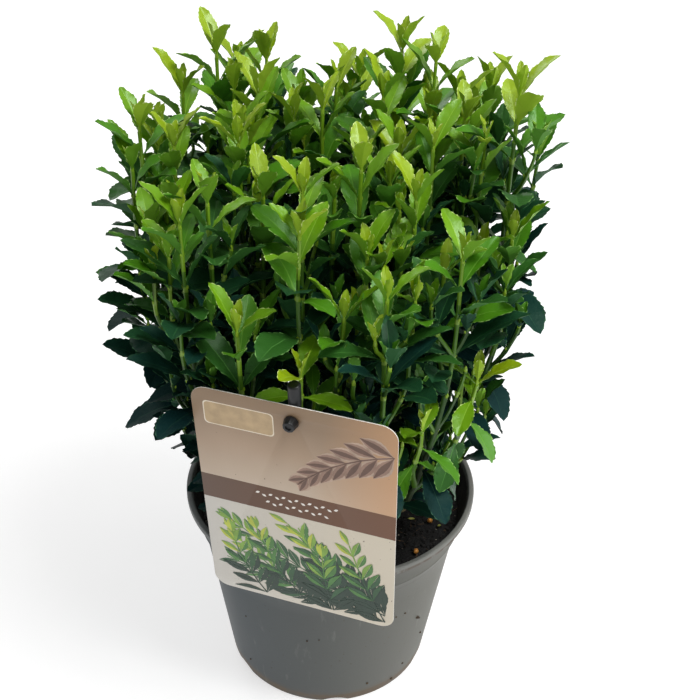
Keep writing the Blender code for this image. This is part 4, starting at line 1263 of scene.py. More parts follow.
def print_panel(shapes):
    """A bare rounded panel in the upper left corner, and a row of small leaves along the band."""
    for level, (ink, width, height) in enumerate(PANEL_LAYERS):
        panel = rounded_rectangle(width, height, PANEL_CORNER, 5)
        shapes.append((ink, level, [[point + Vector(PANEL_PLACE) for point in panel]]))
    middle = CARD_HEIGHT * ((CARD_BAND[0] + CARD_BAND[1]) / 2 - 0.5)
    for row, count in BAND_ROWS:
        for i in range(count):
            root = Vector(((i - (count - 1) / 2) * BAND_GAP - 0.0012, middle + row))
            for outline in printed_leaf(root, 0.5 * (-1) ** i, *BAND_LEAF):
                shapes.append((10, 0, [outline]))


class SPINDLE_OT_label(bpy.types.Operator):
    """Build the label card, its printed design and its peg"""

    bl_idname = "spindle.label"
    bl_label = "Build Label"

    def execute(self, context):
        looks = context.scene.spindle_label
        self.build_card(looks)
        self.build_print()
        self.build_peg(looks)
        return {"FINISHED"}

    def build_card(self, looks):
        """The sheet with its hole: printed on its face, and bare plastic on its edge and back."""
        outline = rounded_rectangle(CARD_WIDTH, CARD_HEIGHT, CARD_CORNER, 8)
        hole = circle_points(Vector((0.0, CARD_HEIGHT / 2 - HOLE_DROP)), HOLE_RADIUS, 32)
        mesh = flat_mesh("label_sheet", (outline, hole), CARD_THICKNESS, CARD_BEVEL)
        for material in (card_core(looks), card_print(looks)):
            mesh.materials.append(material)
        layer = mesh.uv_layers.new(name="card")
        for face in mesh.polygons:
            face.material_index = int(face.normal.z > 0.9)
            for corner in face.loop_indices:
                place = mesh.vertices[mesh.loops[corner].vertex_index].co
                layer.data[corner].uv = (place.x / CARD_WIDTH + 0.5, place.y / CARD_HEIGHT + 0.5)
        mesh.transform(card_matrix())
        finish_mesh(mesh)
        add_piece("label_sheet", mesh, "card", "label_card")

    def build_print(self):
        """The print's picture, as flat inlays that lie on the sheet in thin layers."""
        inks = [printed_ink(name, color) for name, color in INKS]
        shapes = []
        print_sprays(shapes)
        print_branch(shapes)
        print_panel(shapes)
        joined = bmesh.new()
        for ink, level, outlines in shapes:
            mesh = flat_mesh("ink", outlines, PRINT_DEPTH)
            for vertex in mesh.vertices:
                vertex.co.z += level * PRINT_LAYER
            for face in mesh.polygons:
                face.material_index = ink
            joined.from_mesh(mesh)
            bpy.data.meshes.remove(mesh)
        mesh = mesh_from_bmesh("label_print", joined)
        mesh.transform(card_matrix(CARD_THICKNESS / 2 + PRINT_RISE))
        for ink in inks:
            mesh.materials.append(ink)
        add_piece("label_print", mesh, "card")

    def build_peg(self, looks):
        """The peg's tapered rod with its rounded top, its neck through the card and its fluted button."""
        foot, top = peg_line()
        upward = (top - foot).normalized()
        across = card_axes()[0]
        across = (across - upward * across.dot(upward)).normalized()
        length = (top - foot).length
        profile = [(0.0, 0.0), (PEG_POINT_RADIUS, 0.0), (PEG_FOOT_RADIUS, PEG_POINT_LENGTH)]
        profile += [(PEG_FOOT_RADIUS + (PEG_TOP_RADIUS - PEG_FOOT_RADIUS) * share, length * share)
                    for share in (0.3, 0.6, 0.9)]
        rounding = PEG_ROUNDING
        profile += arc((PEG_TOP_RADIUS - rounding, length - rounding), rounding, 5, 90, 6) + [(0.0, length)]
        rod = turned_mesh("label_peg_rod", profile[::-1], 32)
        rod.transform(matrix_from_axes(foot, across, upward.cross(across), upward))
        plastic = black_polypropylene(looks)
        finish_mesh(rod, [plastic])
        add_piece("label_peg_rod", rod, "peg", "label_peg")
        base = CARD_THICKNESS / 2 + CLEAR
        tip = BUTTON_RADIUS * BUTTON_TAPER
        profile = [(0.0, -PEG_BEHIND_CARD), (NECK_RADIUS, -PEG_BEHIND_CARD), (NECK_RADIUS, base)]
        rounding = BUTTON_BACK_ROUNDING
        profile += arc((BUTTON_RADIUS - rounding, base + rounding), rounding, -90, 0, 3)
        rounding = BUTTON_ROUNDING
        profile += arc((tip - rounding, base + BUTTON_THICKNESS - rounding), rounding, 10, 90, 4)
        dish = base + BUTTON_THICKNESS - BUTTON_DISH
        profile += [(tip * 0.50, base + BUTTON_THICKNESS), (tip * 0.42, dish), (0.0, dish)]
        button = turned_mesh("label_peg_button", profile[::-1], 48)
        for vertex in button.vertices:
            turn = math.atan2(vertex.co.y, vertex.co.x)
            fluted = base < vertex.co.z and vertex.co.xy.length > tip * 0.6
            flute = FLUTE_SHARE * abs(math.cos(turn * BUTTON_FLUTES / 2)) * fluted
            vertex.co.xy = vertex.co.xy * (1 - flute)
        button.transform(card_matrix() @ Matrix.Translation((0.0, CARD_HEIGHT / 2 - HOLE_DROP, 0.0)))
        finish_mesh(button, [plastic])
        add_piece("label_peg_button", button, "peg")


def peg_line():
    """Foot and top of the peg's axis: inside the pot's wall, then up behind the card's hole."""
    hole = card_point(0.0, CARD_HEIGHT / 2 - HOLE_DROP, -PEG_BEHIND_CARD)
    azimuth = math.atan2(hole.y, hole.x)
    radius = LIP_RADIUS - LIP_WIDTH - PEG_WALL_CLEARANCE
    at_lip = Vector((radius * math.cos(azimuth), radius * math.sin(azimuth), POT_HEIGHT))
    direction = (hole - at_lip).normalized()
    return at_lip - direction * (PEG_DEPTH / direction.z), hole + direction * PEG_ABOVE_HOLE


def crown_spread(height):
    """Share of its full reach that a shoot has at this height."""
    rise = min(max((height - COMPOST_TOP) / FLARE_HEIGHT, 0.0), 1.0)
    return FOOT_SPREAD + (1.0 - FOOT_SPREAD) * (1.0 - (1.0 - rise) ** 2)


def ease(share, power):
    """0 to 1 with a quick start and a slow end."""
    share = min(max(share, 0.0), 1.0)
    return 1.0 - (1.0 - share) ** power


def plan_place(mass):
    """Where a mass's own stem or bough reaches to on the plan."""
    return heading(math.radians(mass.azimuth)) * mass.reach


def at_height(place, height):
    """The point of the flaring crown that belongs to this place on the plan."""
    spread = place * crown_spread(height)
    return Vector((spread.x, spread.y, height))


def heights_between(low, high, count):
    return [low + (high - low) * i / (count - 1) for i in range(count)]


def stem_path(mass, count):
    """Points and radii of a woody stem from under the compost's top to its tip."""
    points, radii = [], []
    foot = COMPOST_TOP - ROOT_FLARE_HEIGHT
    for height in heights_between(foot, JOIN_HEIGHT, count):
        share = (height - foot) / (JOIN_HEIGHT - foot)
        flare = ROOT_FLARE * max(1.0 - (height - foot) / (2 * ROOT_FLARE_HEIGHT), 0.0) ** 2
        points.append(at_height(plan_place(mass), height))
        radii.append(STEM_RADIUS + (JOIN_RADIUS - STEM_RADIUS) * share + flare)
    return points, radii


def bough_path(mass, parent, count):
    """Points and radii of a bough: out from its parent's axis, then on along its mass's own path."""
    turned_up = JOIN_HEIGHT - BOUGH_END
    points, radii = [], []
    for height in heights_between(FORK_HEIGHT, turned_up, count) + [JOIN_HEIGHT]:
        share = min((height - FORK_HEIGHT) / (turned_up - FORK_HEIGHT), 1.0)
        place = plan_place(parent).lerp(plan_place(mass), 1.0 - (1.0 - share) ** BOUGH_POWER)
        points.append(at_height(place, height))
        radii.append(BOUGH_RADIUS + (JOIN_RADIUS - BOUGH_RADIUS) * share)
    return points, radii


def jitter(rng, most):
    return rng.uniform(-most, most)


def mass_shoots(mass, index):
    """The main shoots of a mass: the first runs on from its stem, and the others leave the first."""
    rng = random.Random(SEED + index)
    shoots = []
    for i, (x, y, top) in enumerate(mass.tips):
        split = JOIN_HEIGHT + BOUGH_END + SPLIT_STEP * i
        start = shoot_place(shoots[0], split) if shoots else plan_place(mass)
        tip = POT_HEIGHT + top - TIP_LEAF_RISE
        sway = Vector((jitter(rng, SWAY), jitter(rng, SWAY)))
        shoots.append(Shoot(Vector((x, y)), start, split, tip, sway, rng.uniform(0, math.tau),
                            OPENING_HEIGHT, SHOOT_RADIUS))
    return shoots


def shoot_place(shoot, height):
    """Where a shoot is on the plan: it opens away from its start above its split, and sways."""
    opened = ease((height - shoot.split) / shoot.opening,
                  OPENING_POWER if shoot.radius == SHOOT_RADIUS else SIDE_POWER)
    along = min(max((height - shoot.split) / (shoot.tip - shoot.split), 0.0), 1.0)
    sway = shoot.sway * math.sin(along * math.pi) * math.cos(along * SWAY_TURN + shoot.phase)
    return shoot.start.lerp(shoot.place, opened) + sway


def shoot_point(shoot, height):
    return at_height(shoot_place(shoot, height), height)


def shoot_radius(shoot, height):
    share = (height - shoot.split) / (shoot.tip - shoot.split)
    return shoot.radius + (TIP_RADIUS - shoot.radius) * share


def leaf_heights(shoot, lowest, gap):
    """Heights of the leaf pairs from the tip down, further apart as they go."""
    height, rows = shoot.tip - TIP_RADIUS, []
    while height > lowest:
        rows.append(height)
        height -= gap
        gap = min(gap * NODE_GAP_GROWTH, NODE_GAP_MOST)
    return rows


def leaf_pose(age):
    """Length and angle above the level of a leaf: age is 0 at the tip and 1 at the foot."""
    young = min(age / YOUNG_SHARE, 1.0)
    old = max(age - YOUNG_SHARE, 0.0) / (1.0 - YOUNG_SHARE)
    length = LEAF_LENGTH_TIP + (LEAF_LENGTH - LEAF_LENGTH_TIP) * young
    lift = LIFT_TIP + (LIFT_GROWN - LIFT_TIP) * young + (LIFT_FOOT - LIFT_GROWN) * old
    return length, math.radians(lift)


def make_leaf(shoot, height, azimuth, lift, roll, length, habit):
    """A leaf on a shoot. Habit is its slimness, fold, bend, twist and the phase of its wavy edge."""
    level = heading(azimuth).to_3d()
    forward = level * math.cos(lift) + Vector((0, 0, math.sin(lift)))
    up = Vector((0, 0, 1)) * math.cos(lift) - level * math.sin(lift)
    up = Matrix.Rotation(roll, 3, forward) @ up
    root = shoot_point(shoot, height) - level * LEAF_SINK * shoot_radius(shoot, height)
    return Leaf(root, forward, up.cross(forward), up, length, *habit)


def half_width(along, length, slenderness):
    """Half the width of a leaf at these shares of its length: a petiole, then an oval blade."""
    blade = np.clip((along - PETIOLE_SHARE) / (1 - PETIOLE_SHARE), 0.0, 1.0)
    oval = np.sin(np.pi * blade ** WIDEST_POWER) ** OUTLINE_POWER * length * slenderness / 2
    return np.maximum(oval, PETIOLE_HALF_WIDTH * (along < 0.9) * length / LEAF_LENGTH)


def leaf_points(leaf, along, across, stand, rise, slenderness):
    """Points of a leaf: along its length, across it in half widths, and out of and above its edge."""
    half = half_width(along, leaf.length, slenderness * leaf.slim)
    aside = across * half + stand
    reach = np.abs(aside)
    lift = leaf.fold * reach * (1 - LEAF_CUP * np.minimum(np.abs(across), 1)) + rise
    lift += WAVE_HEIGHT * np.abs(across) ** 2 * np.sin(along * WAVES * math.tau + leaf.wave) * (along > 0.2)
    turn = leaf.twist * along
    side = aside * np.cos(turn) - lift * np.sin(turn)
    lift = aside * np.sin(turn) + lift * np.cos(turn)
    bend = leaf.bend * along
    ahead = leaf.length * np.sin(bend) / leaf.bend + lift * np.sin(bend)
    above = -leaf.length * (1 - np.cos(bend)) / leaf.bend + lift * np.cos(bend)
    return (np.array(leaf.root) + np.outer(ahead, leaf.forward) + np.outer(side, leaf.side)
            + np.outer(above, leaf.up))


def bridge(first, second, stations):
    """Triangles between two lines of points from a shared end to a shared end, by their stations."""
    faces, i, j = [], 0, 0
    while i < len(first) - 1 or j < len(second) - 1:
        ahead_first = stations[first[i + 1]] if i < len(first) - 1 else 9.0
        ahead_second = stations[second[j + 1]] if j < len(second) - 1 else 9.0
        if ahead_first <= ahead_second:
            face = (first[i], first[i + 1], second[j])
            i += 1
        else:
            face = (first[i], second[j + 1], second[j])
            j += 1
        if len(set(face)) == 3:
            faces.append(face)
    return faces


def leaf_template(teeth):
    """A closed leaf: its points as (along, across, stand, rise), its faces and their roles."""
    points, stations = [], []

    def point(along, across, stand=0.0, rise=0.0):
        points.append((along, across, stand, rise))
        stations.append(along)
        return len(points) - 1

    tip = point(1.0, 0.0)
    top, under = point(0.0, 0.0, 0.0, 1.0), point(0.0, 0.0, 0.0, -1.0)
    keel = [under] + [point(along, 0.0, 0.0, -1.6) for along in MIDRIB_STATIONS] + [tip]
    notches = [FIRST_TOOTH + (LAST_TOOTH - FIRST_TOOTH) * i / teeth for i in range(teeth + 1)]
    faces, roles = [], []
    edges, ends = [], []
    for sign in (1, -1):
        vein = [top] + [point(along, 0.0, sign * VEIN_HALF_WIDTH * (1.1 - along), 1.0)
                        for along in MIDRIB_STATIONS] + [tip]
        line = [point(0.0, sign), point(0.13, sign)] + [point(along, sign) for along in notches] + [tip]
        apexes = [point(a + (b - a) * TOOTH_LEAN, sign, sign) for a, b in zip(notches, notches[1:])]
        rim = line[:3]
        for apex, notch in zip(apexes, line[3:]):
            rim += [apex, notch]
        rim.append(tip)
        upper = bridge(vein, line, stations)
        teeth_faces = list(zip(line[2:], apexes, line[3:-1]))
        lower = bridge(keel, rim, stations)
        flip = slice(None, None, -1) if sign > 0 else slice(None)
        for part, role in ((upper, 0), (teeth_faces, 3), ([face[::-1] for face in lower], 2)):
            faces += [face[flip] for face in part]
            roles += [role] * len(part)
        edges.append(vein)
        ends.append(line[0])
    right, left = edges
    for i in range(len(right) - 1):
        face = tuple(dict.fromkeys((right[i], right[i + 1], left[i + 1], left[i])))
        faces.append(face)
        roles.append(1)
    faces.append((ends[0], top, ends[1], under))
    roles.append(1)
    return np.array(points), faces, roles


class Gathered:
    """Points, faces and material numbers of many small shapes, joined into one mesh."""

    def __init__(self):
        self.points, self.faces, self.slots, self.count = [], [], [], 0

    def add(self, points, faces, slots):
        """Adds a shape, with a material number for each of its faces or one for all."""
        self.faces += [tuple(corner + self.count for corner in face) for face in faces]
        self.slots += [slots] * len(faces) if isinstance(slots, int) else slots
        self.points.append(np.asarray(points))
        self.count += len(points)

    def mesh(self, name, materials):
        mesh = mesh_of(name, np.concatenate(self.points).tolist(), self.faces)
        finish_mesh(mesh, materials)
        mesh.polygons.foreach_set("material_index", self.slots)
        mesh.update()
        return mesh


def tube_shape(points, radii, sides, squareness=0.0, start=0.0):
    """Points and faces of a closed tube, a little four-angled where squareness says so."""
    rings = []
    for i, point in enumerate(points):
        ahead = (points[min(i + 1, len(points) - 1)] - points[max(i - 1, 0)]).normalized()
        x_axis = (Vector((1, 0, 0)) - ahead * ahead.x).normalized()
        y_axis = ahead.cross(x_axis)
        for k in range(sides):
            turn = start + k * math.tau / sides
            radius = radii[i] * (1 + squareness * math.cos(4 * (turn - start)))
            rings.append(point + (x_axis * math.cos(turn) + y_axis * math.sin(turn)) * radius)
    faces = []
    for i in range(len(points) - 1):
        for k in range(sides):
            a, b = i * sides + k, i * sides + (k + 1) % sides
            faces.append((a, b, b + sides, a + sides))
    last = (len(points) - 1) * sides
    faces.append(tuple(range(sides))[::-1])
    faces.append(tuple(last + k for k in range(sides)))
    return rings, faces


def bud_shape(root, direction, length, radius):
    """A small pointed bud."""
    shares = ((0.0, 0.7), (0.3, 1.0), (0.65, 0.75), (0.92, 0.28))
    points = [root + direction * (length * share) for share, _ in shares]
    return tube_shape(points, [radius * width for _, width in shares], 6)


def tree_of(points, faces):
    """A search tree of a shape, to find what crosses it."""
    return BVHTree.FromPolygons([Vector(point) for point in points], faces)


class Neighbours:
    """What already grows, kept by cells so that a new leaf is tested only against what is near."""

    def __init__(self):
        self.cells = {}

    def cell(self, centre):
        return tuple(math.floor(value / NEIGHBOUR_CELL) for value in centre)

    def add(self, centre, tree):
        self.cells.setdefault(self.cell(centre), []).append(tree)

    def crossed(self, centre, tree):
        key = self.cell(centre)
        return any(tree.overlap(other) for step in product((-1, 0, 1), repeat=3)
                   for other in self.cells.get(tuple(a + b for a, b in zip(key, step)), ()))


TEST_ALONG = np.repeat(TEST_STATIONS, 3)
TEST_ACROSS = np.tile((-TEST_WIDTH, 0.0, TEST_WIDTH), len(TEST_STATIONS))
TEST_FACES = [(3 * i + k, 3 * i + k + 1, 3 * i + k + 4, 3 * i + k + 3)
              for i in range(len(TEST_STATIONS) - 1) for k in (0, 1)]
REACH_HIGH = CAD_BOX[1].z


def clear_of_pot_and_card(points):
    """True where a leaf stays off the compost, the pot's lip and the card, and in the crown's reach."""
    radius = np.hypot(points[:, 0], points[:, 1])
    height = points[:, 2]
    reach = np.hypot(points[:, 0] - CROWN_MIDDLE_X, points[:, 1])
    if (reach > CROWN_REACH).any() or (height > REACH_HIGH).any():
        return False
    if ((height < COMPOST_TOP + LEAF_CLEARANCE) & (radius < LIP_RADIUS)).any():
        return False
    near_lip = (radius > LIP_RADIUS - LIP_WIDTH - LEAF_CLEARANCE) & (radius < LIP_RADIUS + LEAF_CLEARANCE)
    if (near_lip & (height < POT_HEIGHT + LEAF_CLEARANCE)).any():
        return False
    across, up, out = card_axes()
    offset = points - np.array(card_point(0, 0))
    inside = (np.abs(offset @ np.array(across)) < CARD_WIDTH / 2 + CARD_CLEARANCE)
    inside &= np.abs(offset @ np.array(up)) < CARD_HEIGHT / 2 + CARD_CLEARANCE
    inside &= offset @ np.array(out) > -CARD_CLEARANCE
    return not inside.any()


def foot_share(height):
    """0 in the crown, and 1 at the height of its lowest leaves and under it."""
    high, low = FOOT_LEAVES
    return min(max((high - height) / (high - low), 0.0), 1.0)


def shades_crown(offset):
    """True for a place close to a low crown, or between it and its light."""
    along = offset.dot(LIGHT_SIDE)
    beside = (offset - LIGHT_SIDE * along).length
    return offset.length < LOW_CROWN_REACH or 0.0 < along < LIGHT_REACH and beside < LIGHT_WIDTH


def take_turns(growing):
    """Every shoot sets its next leaf pair in turn, so that all of them have their youngest ones whole."""
    while growing:
        growing = [shoot for shoot in growing if next(shoot, False)]


class Plant:
    """Grows the twigs and leaves of every mass."""

    def __init__(self, looks):
        self.looks = looks
        self.near = Neighbours()
        self.templates = [leaf_template(teeth) for teeth in TEETH]
        self.leaf_count = 0
        self.low_crowns = []

    def grow(self):
        """Low main shoots in the light first, then the others, then second leaders and finer twigs."""
        beds, low, growing = [], [], []
        for index, mass in enumerate(MASSES):
            rng = random.Random(SEED * 7 + index)
            bed = Bed(mass, random.Random(SEED * 13 + index), Gathered(), Gathered(), [])
            for i, shoot in enumerate(mass_shoots(mass, index)):
                rows = leaf_heights(shoot, shoot.split + LOWEST_NODE * (1 + 2 * i),
                                    LOW_TIP_GAP if shoot.tip < LOW_TIP else NODE_GAP_TIP)
                first_turn = rng.uniform(0, math.pi)
                self.grow_twig(shoot, rows, bed.twigs, first_turn, i == 0)
                bed.shoots.append((shoot, rows, first_turn))
                place = low if shoot.tip < LOW_TIP else growing
                place.append(self.grow_leaves(shoot, rows, first_turn, rng, bed, False))
            beds.append(bed)
        take_turns(low)
        self.low_crowns = [shoot_point(shoot, shoot.tip - LOW_CROWN_DROP) for bed in beds
                           for shoot, _, _ in bed.shoots if shoot.tip < LOW_TIP]
        take_turns(growing)
        for tall in (True, False):
            growing = []
            for bed in beds:
                for shoot, rows, first_turn in bed.shoots:
                    growing += self.grow_side_shoots(shoot, rows, first_turn, tall, bed)
                if not tall:
                    growing += self.grow_low_shoots(bed)
            take_turns(growing)
        return beds

    def grow_twig(self, shoot, rows, twigs, first_turn, continues, shaded=0.0):
        """One shoot, which swells at its nodes, with pale collars there and its buds."""
        low = JOIN_HEIGHT + CLEAR if continues else shoot.split
        heights = heights_between(low, shoot.tip, max(int((shoot.tip - low) / TWIG_STEP), 4))
        gaps = [min((abs(height - row) for row in rows), default=1.0) for height in heights]
        points = [shoot_point(shoot, height) for height in heights]
        radii = [shoot_radius(shoot, height) * (1 + NODE_SWELL * math.exp(-(gap / NODE_SWELL_HEIGHT) ** 2))
                 for height, gap in zip(heights, gaps)]
        sides = 10 if shoot.radius == SHOOT_RADIUS else 6
        shape, faces = tube_shape(points, radii, sides, TWIG_SQUARENESS, first_turn)
        slots = []
        for height, gap in zip(heights[:-1], gaps):
            # Twigs of a shaded shoot take darker colours: painted shade
            slot = sum(shoot.tip - height + shaded > limit for limit in SHOOT_TONE_DEPTHS)
            slots += [COLLAR if gap < COLLAR_HALF_HEIGHT and slot < 2 else slot] * sides
        twigs.add(shape, faces, slots + [3, 0])
        for row, height in enumerate(rows[1:], 1):
            for side in (0, 1):
                level = heading(first_turn + side * math.pi + row * math.pi / 2).to_3d()
                root = shoot_point(shoot, height + BUD_RISE) + level * shoot_radius(shoot, height) * 0.7
                size = 0.55 + 0.25 * min(row, 3)
                direction = (level * 0.35 + Vector((0, 0, 1))).normalized()
                twigs.add(*bud_shape(root, direction, BUD_LENGTH * size, BUD_RADIUS * size), BUD)
        crown = shoot_point(shoot, shoot.tip - PAIR_STEP)
        twigs.add(*bud_shape(crown, Vector((0, 0, 1)), TIP_BUD_LENGTH, TIP_BUD_RADIUS), BUD)
        coarse = points[::6] + [points[-1]]
        shape, faces = tube_shape(coarse, [shoot_radius(shoot, p.z) for p in coarse], 3)
        whole = tree_of(shape, faces)
        for point in coarse:
            self.near.add(point, whole)

    def grow_leaves(self, shoot, rows, first_turn, rng, bed, small, shaded=0.0):
        """The leaves of one shoot, a pair at a time; one that never fits is skipped."""
        fine = bed.fine
        # A shoot's tone shift: its own vigour, with painted shade for a shaded shoot and for one that ends
        # under the top
        vigour_and_shade = fine.uniform(*VIGOUR) + shaded + DROP_SHADE * (REACH_HIGH - shoot.tip)
        low_tip = not small and shoot.tip < LOW_TIP
        if low_tip:
            vigour_and_shade -= LOW_TIP_VIGOUR
        for row, height in enumerate(rows):
            depth = shoot.tip - height
            age = depth / (SIDE_AGE_LENGTH if small else shoot.tip - JOIN_HEIGHT)
            for side in (0, 1):
                length, lift = leaf_pose(age)
                length *= (1 + jitter(rng, LENGTH_JITTER)) * (SIDE_LEAF_SCALE if small else 1.0)
                length *= 1.0 - FOOT_LEAF_LOSS * foot_share(height)
                lift += jitter(rng, LIFT_JITTER)
                if low_tip:
                    length *= LOW_TIP_LENGTH if row else 1.0
                    lift = max(lift - LOW_TIP_SPREAD - LOW_TIP_ROW_SPREAD * min(row, 2), LOW_TIP_LEVEL)
                azimuth = first_turn + side * math.pi + row * math.pi / 2 + jitter(rng, TURN_JITTER)
                roll = jitter(rng, TURN_JITTER)
                habit = self.habit(max(age, YOUNG_SHARE) if low_tip else age, fine)
                tone = depth + vigour_and_shade + fine.uniform(*TONE_JITTER)
                for turned, raised, shortened in LEAF_TRIES:
                    leaf = make_leaf(shoot, height + side * PAIR_STEP, azimuth + math.radians(turned),
                                     lift + math.radians(raised), roll, length * shortened, habit)
                    if self.place(leaf, tone, bed.leaves):
                        break
            yield True
        self.grow_bud_pair(shoot, first_turn, fine, vigour_and_shade, bed.leaves)

    def grow_bud_pair(self, shoot, first_turn, fine, vigour_and_shade, leaves):
        """The youngest pair, still upright and folded over the bud."""
        for side in (0, 1):
            azimuth = first_turn + math.pi / 2 + side * math.pi
            habit = (*BUD_LEAF_HABIT, fine.uniform(-0.1, 0.1), fine.uniform(0, math.tau))
            lift = math.radians(fine.uniform(*BUD_LEAF_LIFT))
            length = fine.uniform(*BUD_LEAF_LENGTH)
            leaf = make_leaf(shoot, shoot.tip + PAIR_STEP, azimuth, lift, 0.0, length, habit)
            self.place(leaf, vigour_and_shade * 0.5, leaves, force=True)

    def habit(self, age, fine):
        """A leaf's slimness, fold, bend, twist and the phase of its wavy edge, by its age."""
        slim = 0.80 + 0.20 * min(age / YOUNG_SHARE, 1.0) + 0.22 * max(age - YOUNG_SHARE, 0.0)
        fold = 0.52 - 0.26 * min(age / 0.7, 1.0) + fine.uniform(-0.06, 0.06)
        bend = 0.50 + 0.35 * min(age, 1.0) + fine.uniform(-0.15, 0.30)
        return slim, fold, bend, fine.uniform(-0.30, 0.30), fine.uniform(0, math.tau)

    def grow_side_shoots(self, parent, rows, first_turn, tall, bed):
        """Second leaders that run up beside a main shoot, or else finer twigs from its leaf axils."""
        fine, length = bed.fine, parent.tip - parent.split
        leaders = [min(rows, key=lambda row: abs((row - parent.split) / length - share))
                   for share in TALL_SHARES]
        for row, height in enumerate(rows):
            share = (height - parent.split) / length
            for side in (0, 1):
                leader = height in leaders and side == leaders.index(height)
                azimuth = first_turn + side * math.pi + row * math.pi / 2 + fine.uniform(-0.3, 0.3)
                split = height + SIDE_SPLIT
                start = shoot_place(parent, split)
                if tall and leader:
                    yield from self.grow_side(start, azimuth, fine.uniform(*TALL_REACH), split,
                                              parent.tip - fine.uniform(*TALL_DROP), bed, 0.0)
                elif not tall and not leader and fine.random() < self.looks.side_share:
                    shaded = SIDE_SHADE * (1.0 - share)
                    shaded += 0.0 if fine.random() < FLUSH_SHARE else fine.uniform(*SIDE_TONE)
                    rise = fine.uniform(*SIDE_RISE) * (1.15 - 0.5 * share)
                    tip = min(split + rise, parent.tip - SIDE_DROP)
                    if SIDE_LOWEST < share < SIDE_HIGHEST:
                        reach = fine.uniform(*SIDE_REACH)
                        yield from self.grow_side(start, azimuth, reach, split, tip, bed, shaded)

    def grow_side(self, start, azimuth, reach, split, tip, bed, shaded):
        """A side shoot with its leaves still to set, unless it would leave the crown's reach."""
        turn = bed.fine.uniform(0, math.pi)
        place = start + heading(azimuth) * reach
        if place.length > OUTER_PLACE:
            place *= OUTER_PLACE / place.length
        shoot = Shoot(place, start, split, tip, SIDE_SWAY, 0.0, SIDE_OPENING, SIDE_RADIUS)
        along = [shoot_point(shoot, height) for height in heights_between(split, tip, 8)]
        if clear_of_pot_and_card(np.array(along[1:])):
            rows = leaf_heights(shoot, split + SIDE_BARE, NODE_GAP_TIP)
            self.grow_twig(shoot, rows, bed.twigs, turn, False, shaded)
            yield self.grow_leaves(shoot, rows, turn, bed.fine, bed, True, shaded)

    def grow_low_shoots(self, bed):
        """Short twigs from the woody limb itself, with dark leaves that hide the crown's foot."""
        mass, fine = bed.mass, bed.fine
        carrier = next((each for each in MASSES if each.name == mass.carrier), None)
        for i in range(LOW_SHOOTS):
            height = COMPOST_TOP + LOW_START + LOW_GAP * i
            place = plan_place(mass)
            if carrier:
                share = (height - FORK_HEIGHT) / (JOIN_HEIGHT - BOUGH_END - FORK_HEIGHT)
                place = plan_place(carrier).lerp(place, 1.0 - (1.0 - min(share, 1.0)) ** BOUGH_POWER)
            azimuth = math.radians(mass.azimuth + LOW_TURN * i + fine.uniform(-40, 40))
            reach, rise = fine.uniform(*LOW_REACH), fine.uniform(*LOW_RISE)
            # Dark tones here are painted shade at the crown's foot, and on the lit front right the bright
            # young ones are partly painted light
            sunny = place.x > SUNNY_EDGE > place.y
            young = fine.random() < (LOW_YOUNG_SHARE if sunny else LOW_SHADED_SHARE)
            yield from self.grow_side(place, azimuth, reach, height, height + rise, bed,
                                      LOW_YOUNG_TONE if young else LOW_TONE)

    def place(self, leaf, depth, leaves, force=False):
        """Adds the leaf unless it would cross what grows there or leave the crown's reach."""
        zeros = np.zeros(len(TEST_ALONG))
        points = leaf_points(leaf, TEST_ALONG, TEST_ACROSS, zeros, zeros, self.looks.slenderness)
        centre = points.mean(axis=0)
        tree = tree_of(points, TEST_FACES)
        if any(shades_crown(Vector(centre) - crown) for crown in self.low_crowns):
            return False
        if not clear_of_pot_and_card(points[1:]) or not force and self.near.crossed(centre, tree):
            return False
        self.near.add(centre, tree)
        shape, faces, roles = self.templates[sum(leaf.length > limit for limit in TEETH_LENGTHS)]
        along, across, stand, rise = shape.T
        grown = min(leaf.length / FULL_TEETH_LENGTH, 1.0)
        at_vein = across == 0.0
        stand = np.where(at_vein, stand, stand * self.looks.tooth) * grown
        solid = leaf_points(leaf, along, across, stand, rise * LEAF_HALF_THICKNESS, self.looks.slenderness)
        tone = sum(depth > limit for limit in TONE_DEPTHS)
        leaves.add(solid, faces, [tone * len(ROLES) + role for role in roles])
        self.leaf_count += 1
        return True


# Ridges a metre across and along a limb, and how far ridges and old nodes stand out
RIDGES = (900, 900, 110)
RIDGE_HEIGHT = 0.00022
OLD_NODE_HEIGHT = 0.00025
OLD_NODE_GAP = 0.012
LIMB_SIDES = 20


def barked_limb(points, radii, seed):
    """A limb with the relief of its bark: long ridges, splits and the swelling of old nodes."""
    rings, faces = tube_shape(points, radii, LIMB_SIDES)
    shifted = []
    for i, place in enumerate(rings):
        out = (place - points[i // LIMB_SIDES]).normalized()
        key = Vector(value * ridges for value, ridges in zip(place, RIDGES)) + Vector((0.0, 0.0, seed))
        ridge = noise.fractal(key, 1.0, 2.0, 3) * RIDGE_HEIGHT
        node = OLD_NODE_HEIGHT * max(math.cos(place.z * math.tau / OLD_NODE_GAP + seed), 0.0) ** 8
        shifted.append(place + out * (ridge + node))
    return shifted, faces


class SPINDLE_OT_limbs(bpy.types.Operator):
    """Build the woody stems and boughs with the relief of their bark"""

    bl_idname = "spindle.limbs"
    bl_label = "Build Limbs"

    def execute(self, context):
        material = young_bark(context.scene.spindle_plant)
        by_name = {mass.name: mass for mass in MASSES}
        for index, mass in enumerate(MASSES):
            if mass.carrier is None:
                name, (points, radii) = "stem_" + mass.name, stem_path(mass, 34)
            else:
                name, (points, radii) = "bough_" + mass.name, bough_path(mass, by_name[mass.carrier], 26)
            limb = Gathered()
            limb.add(*barked_limb(points, radii, index * 7.3), 0)
            add_piece(name + "_bark", limb.mesh(name + "_bark", [material]), "bark", name)
        return {"FINISHED"}


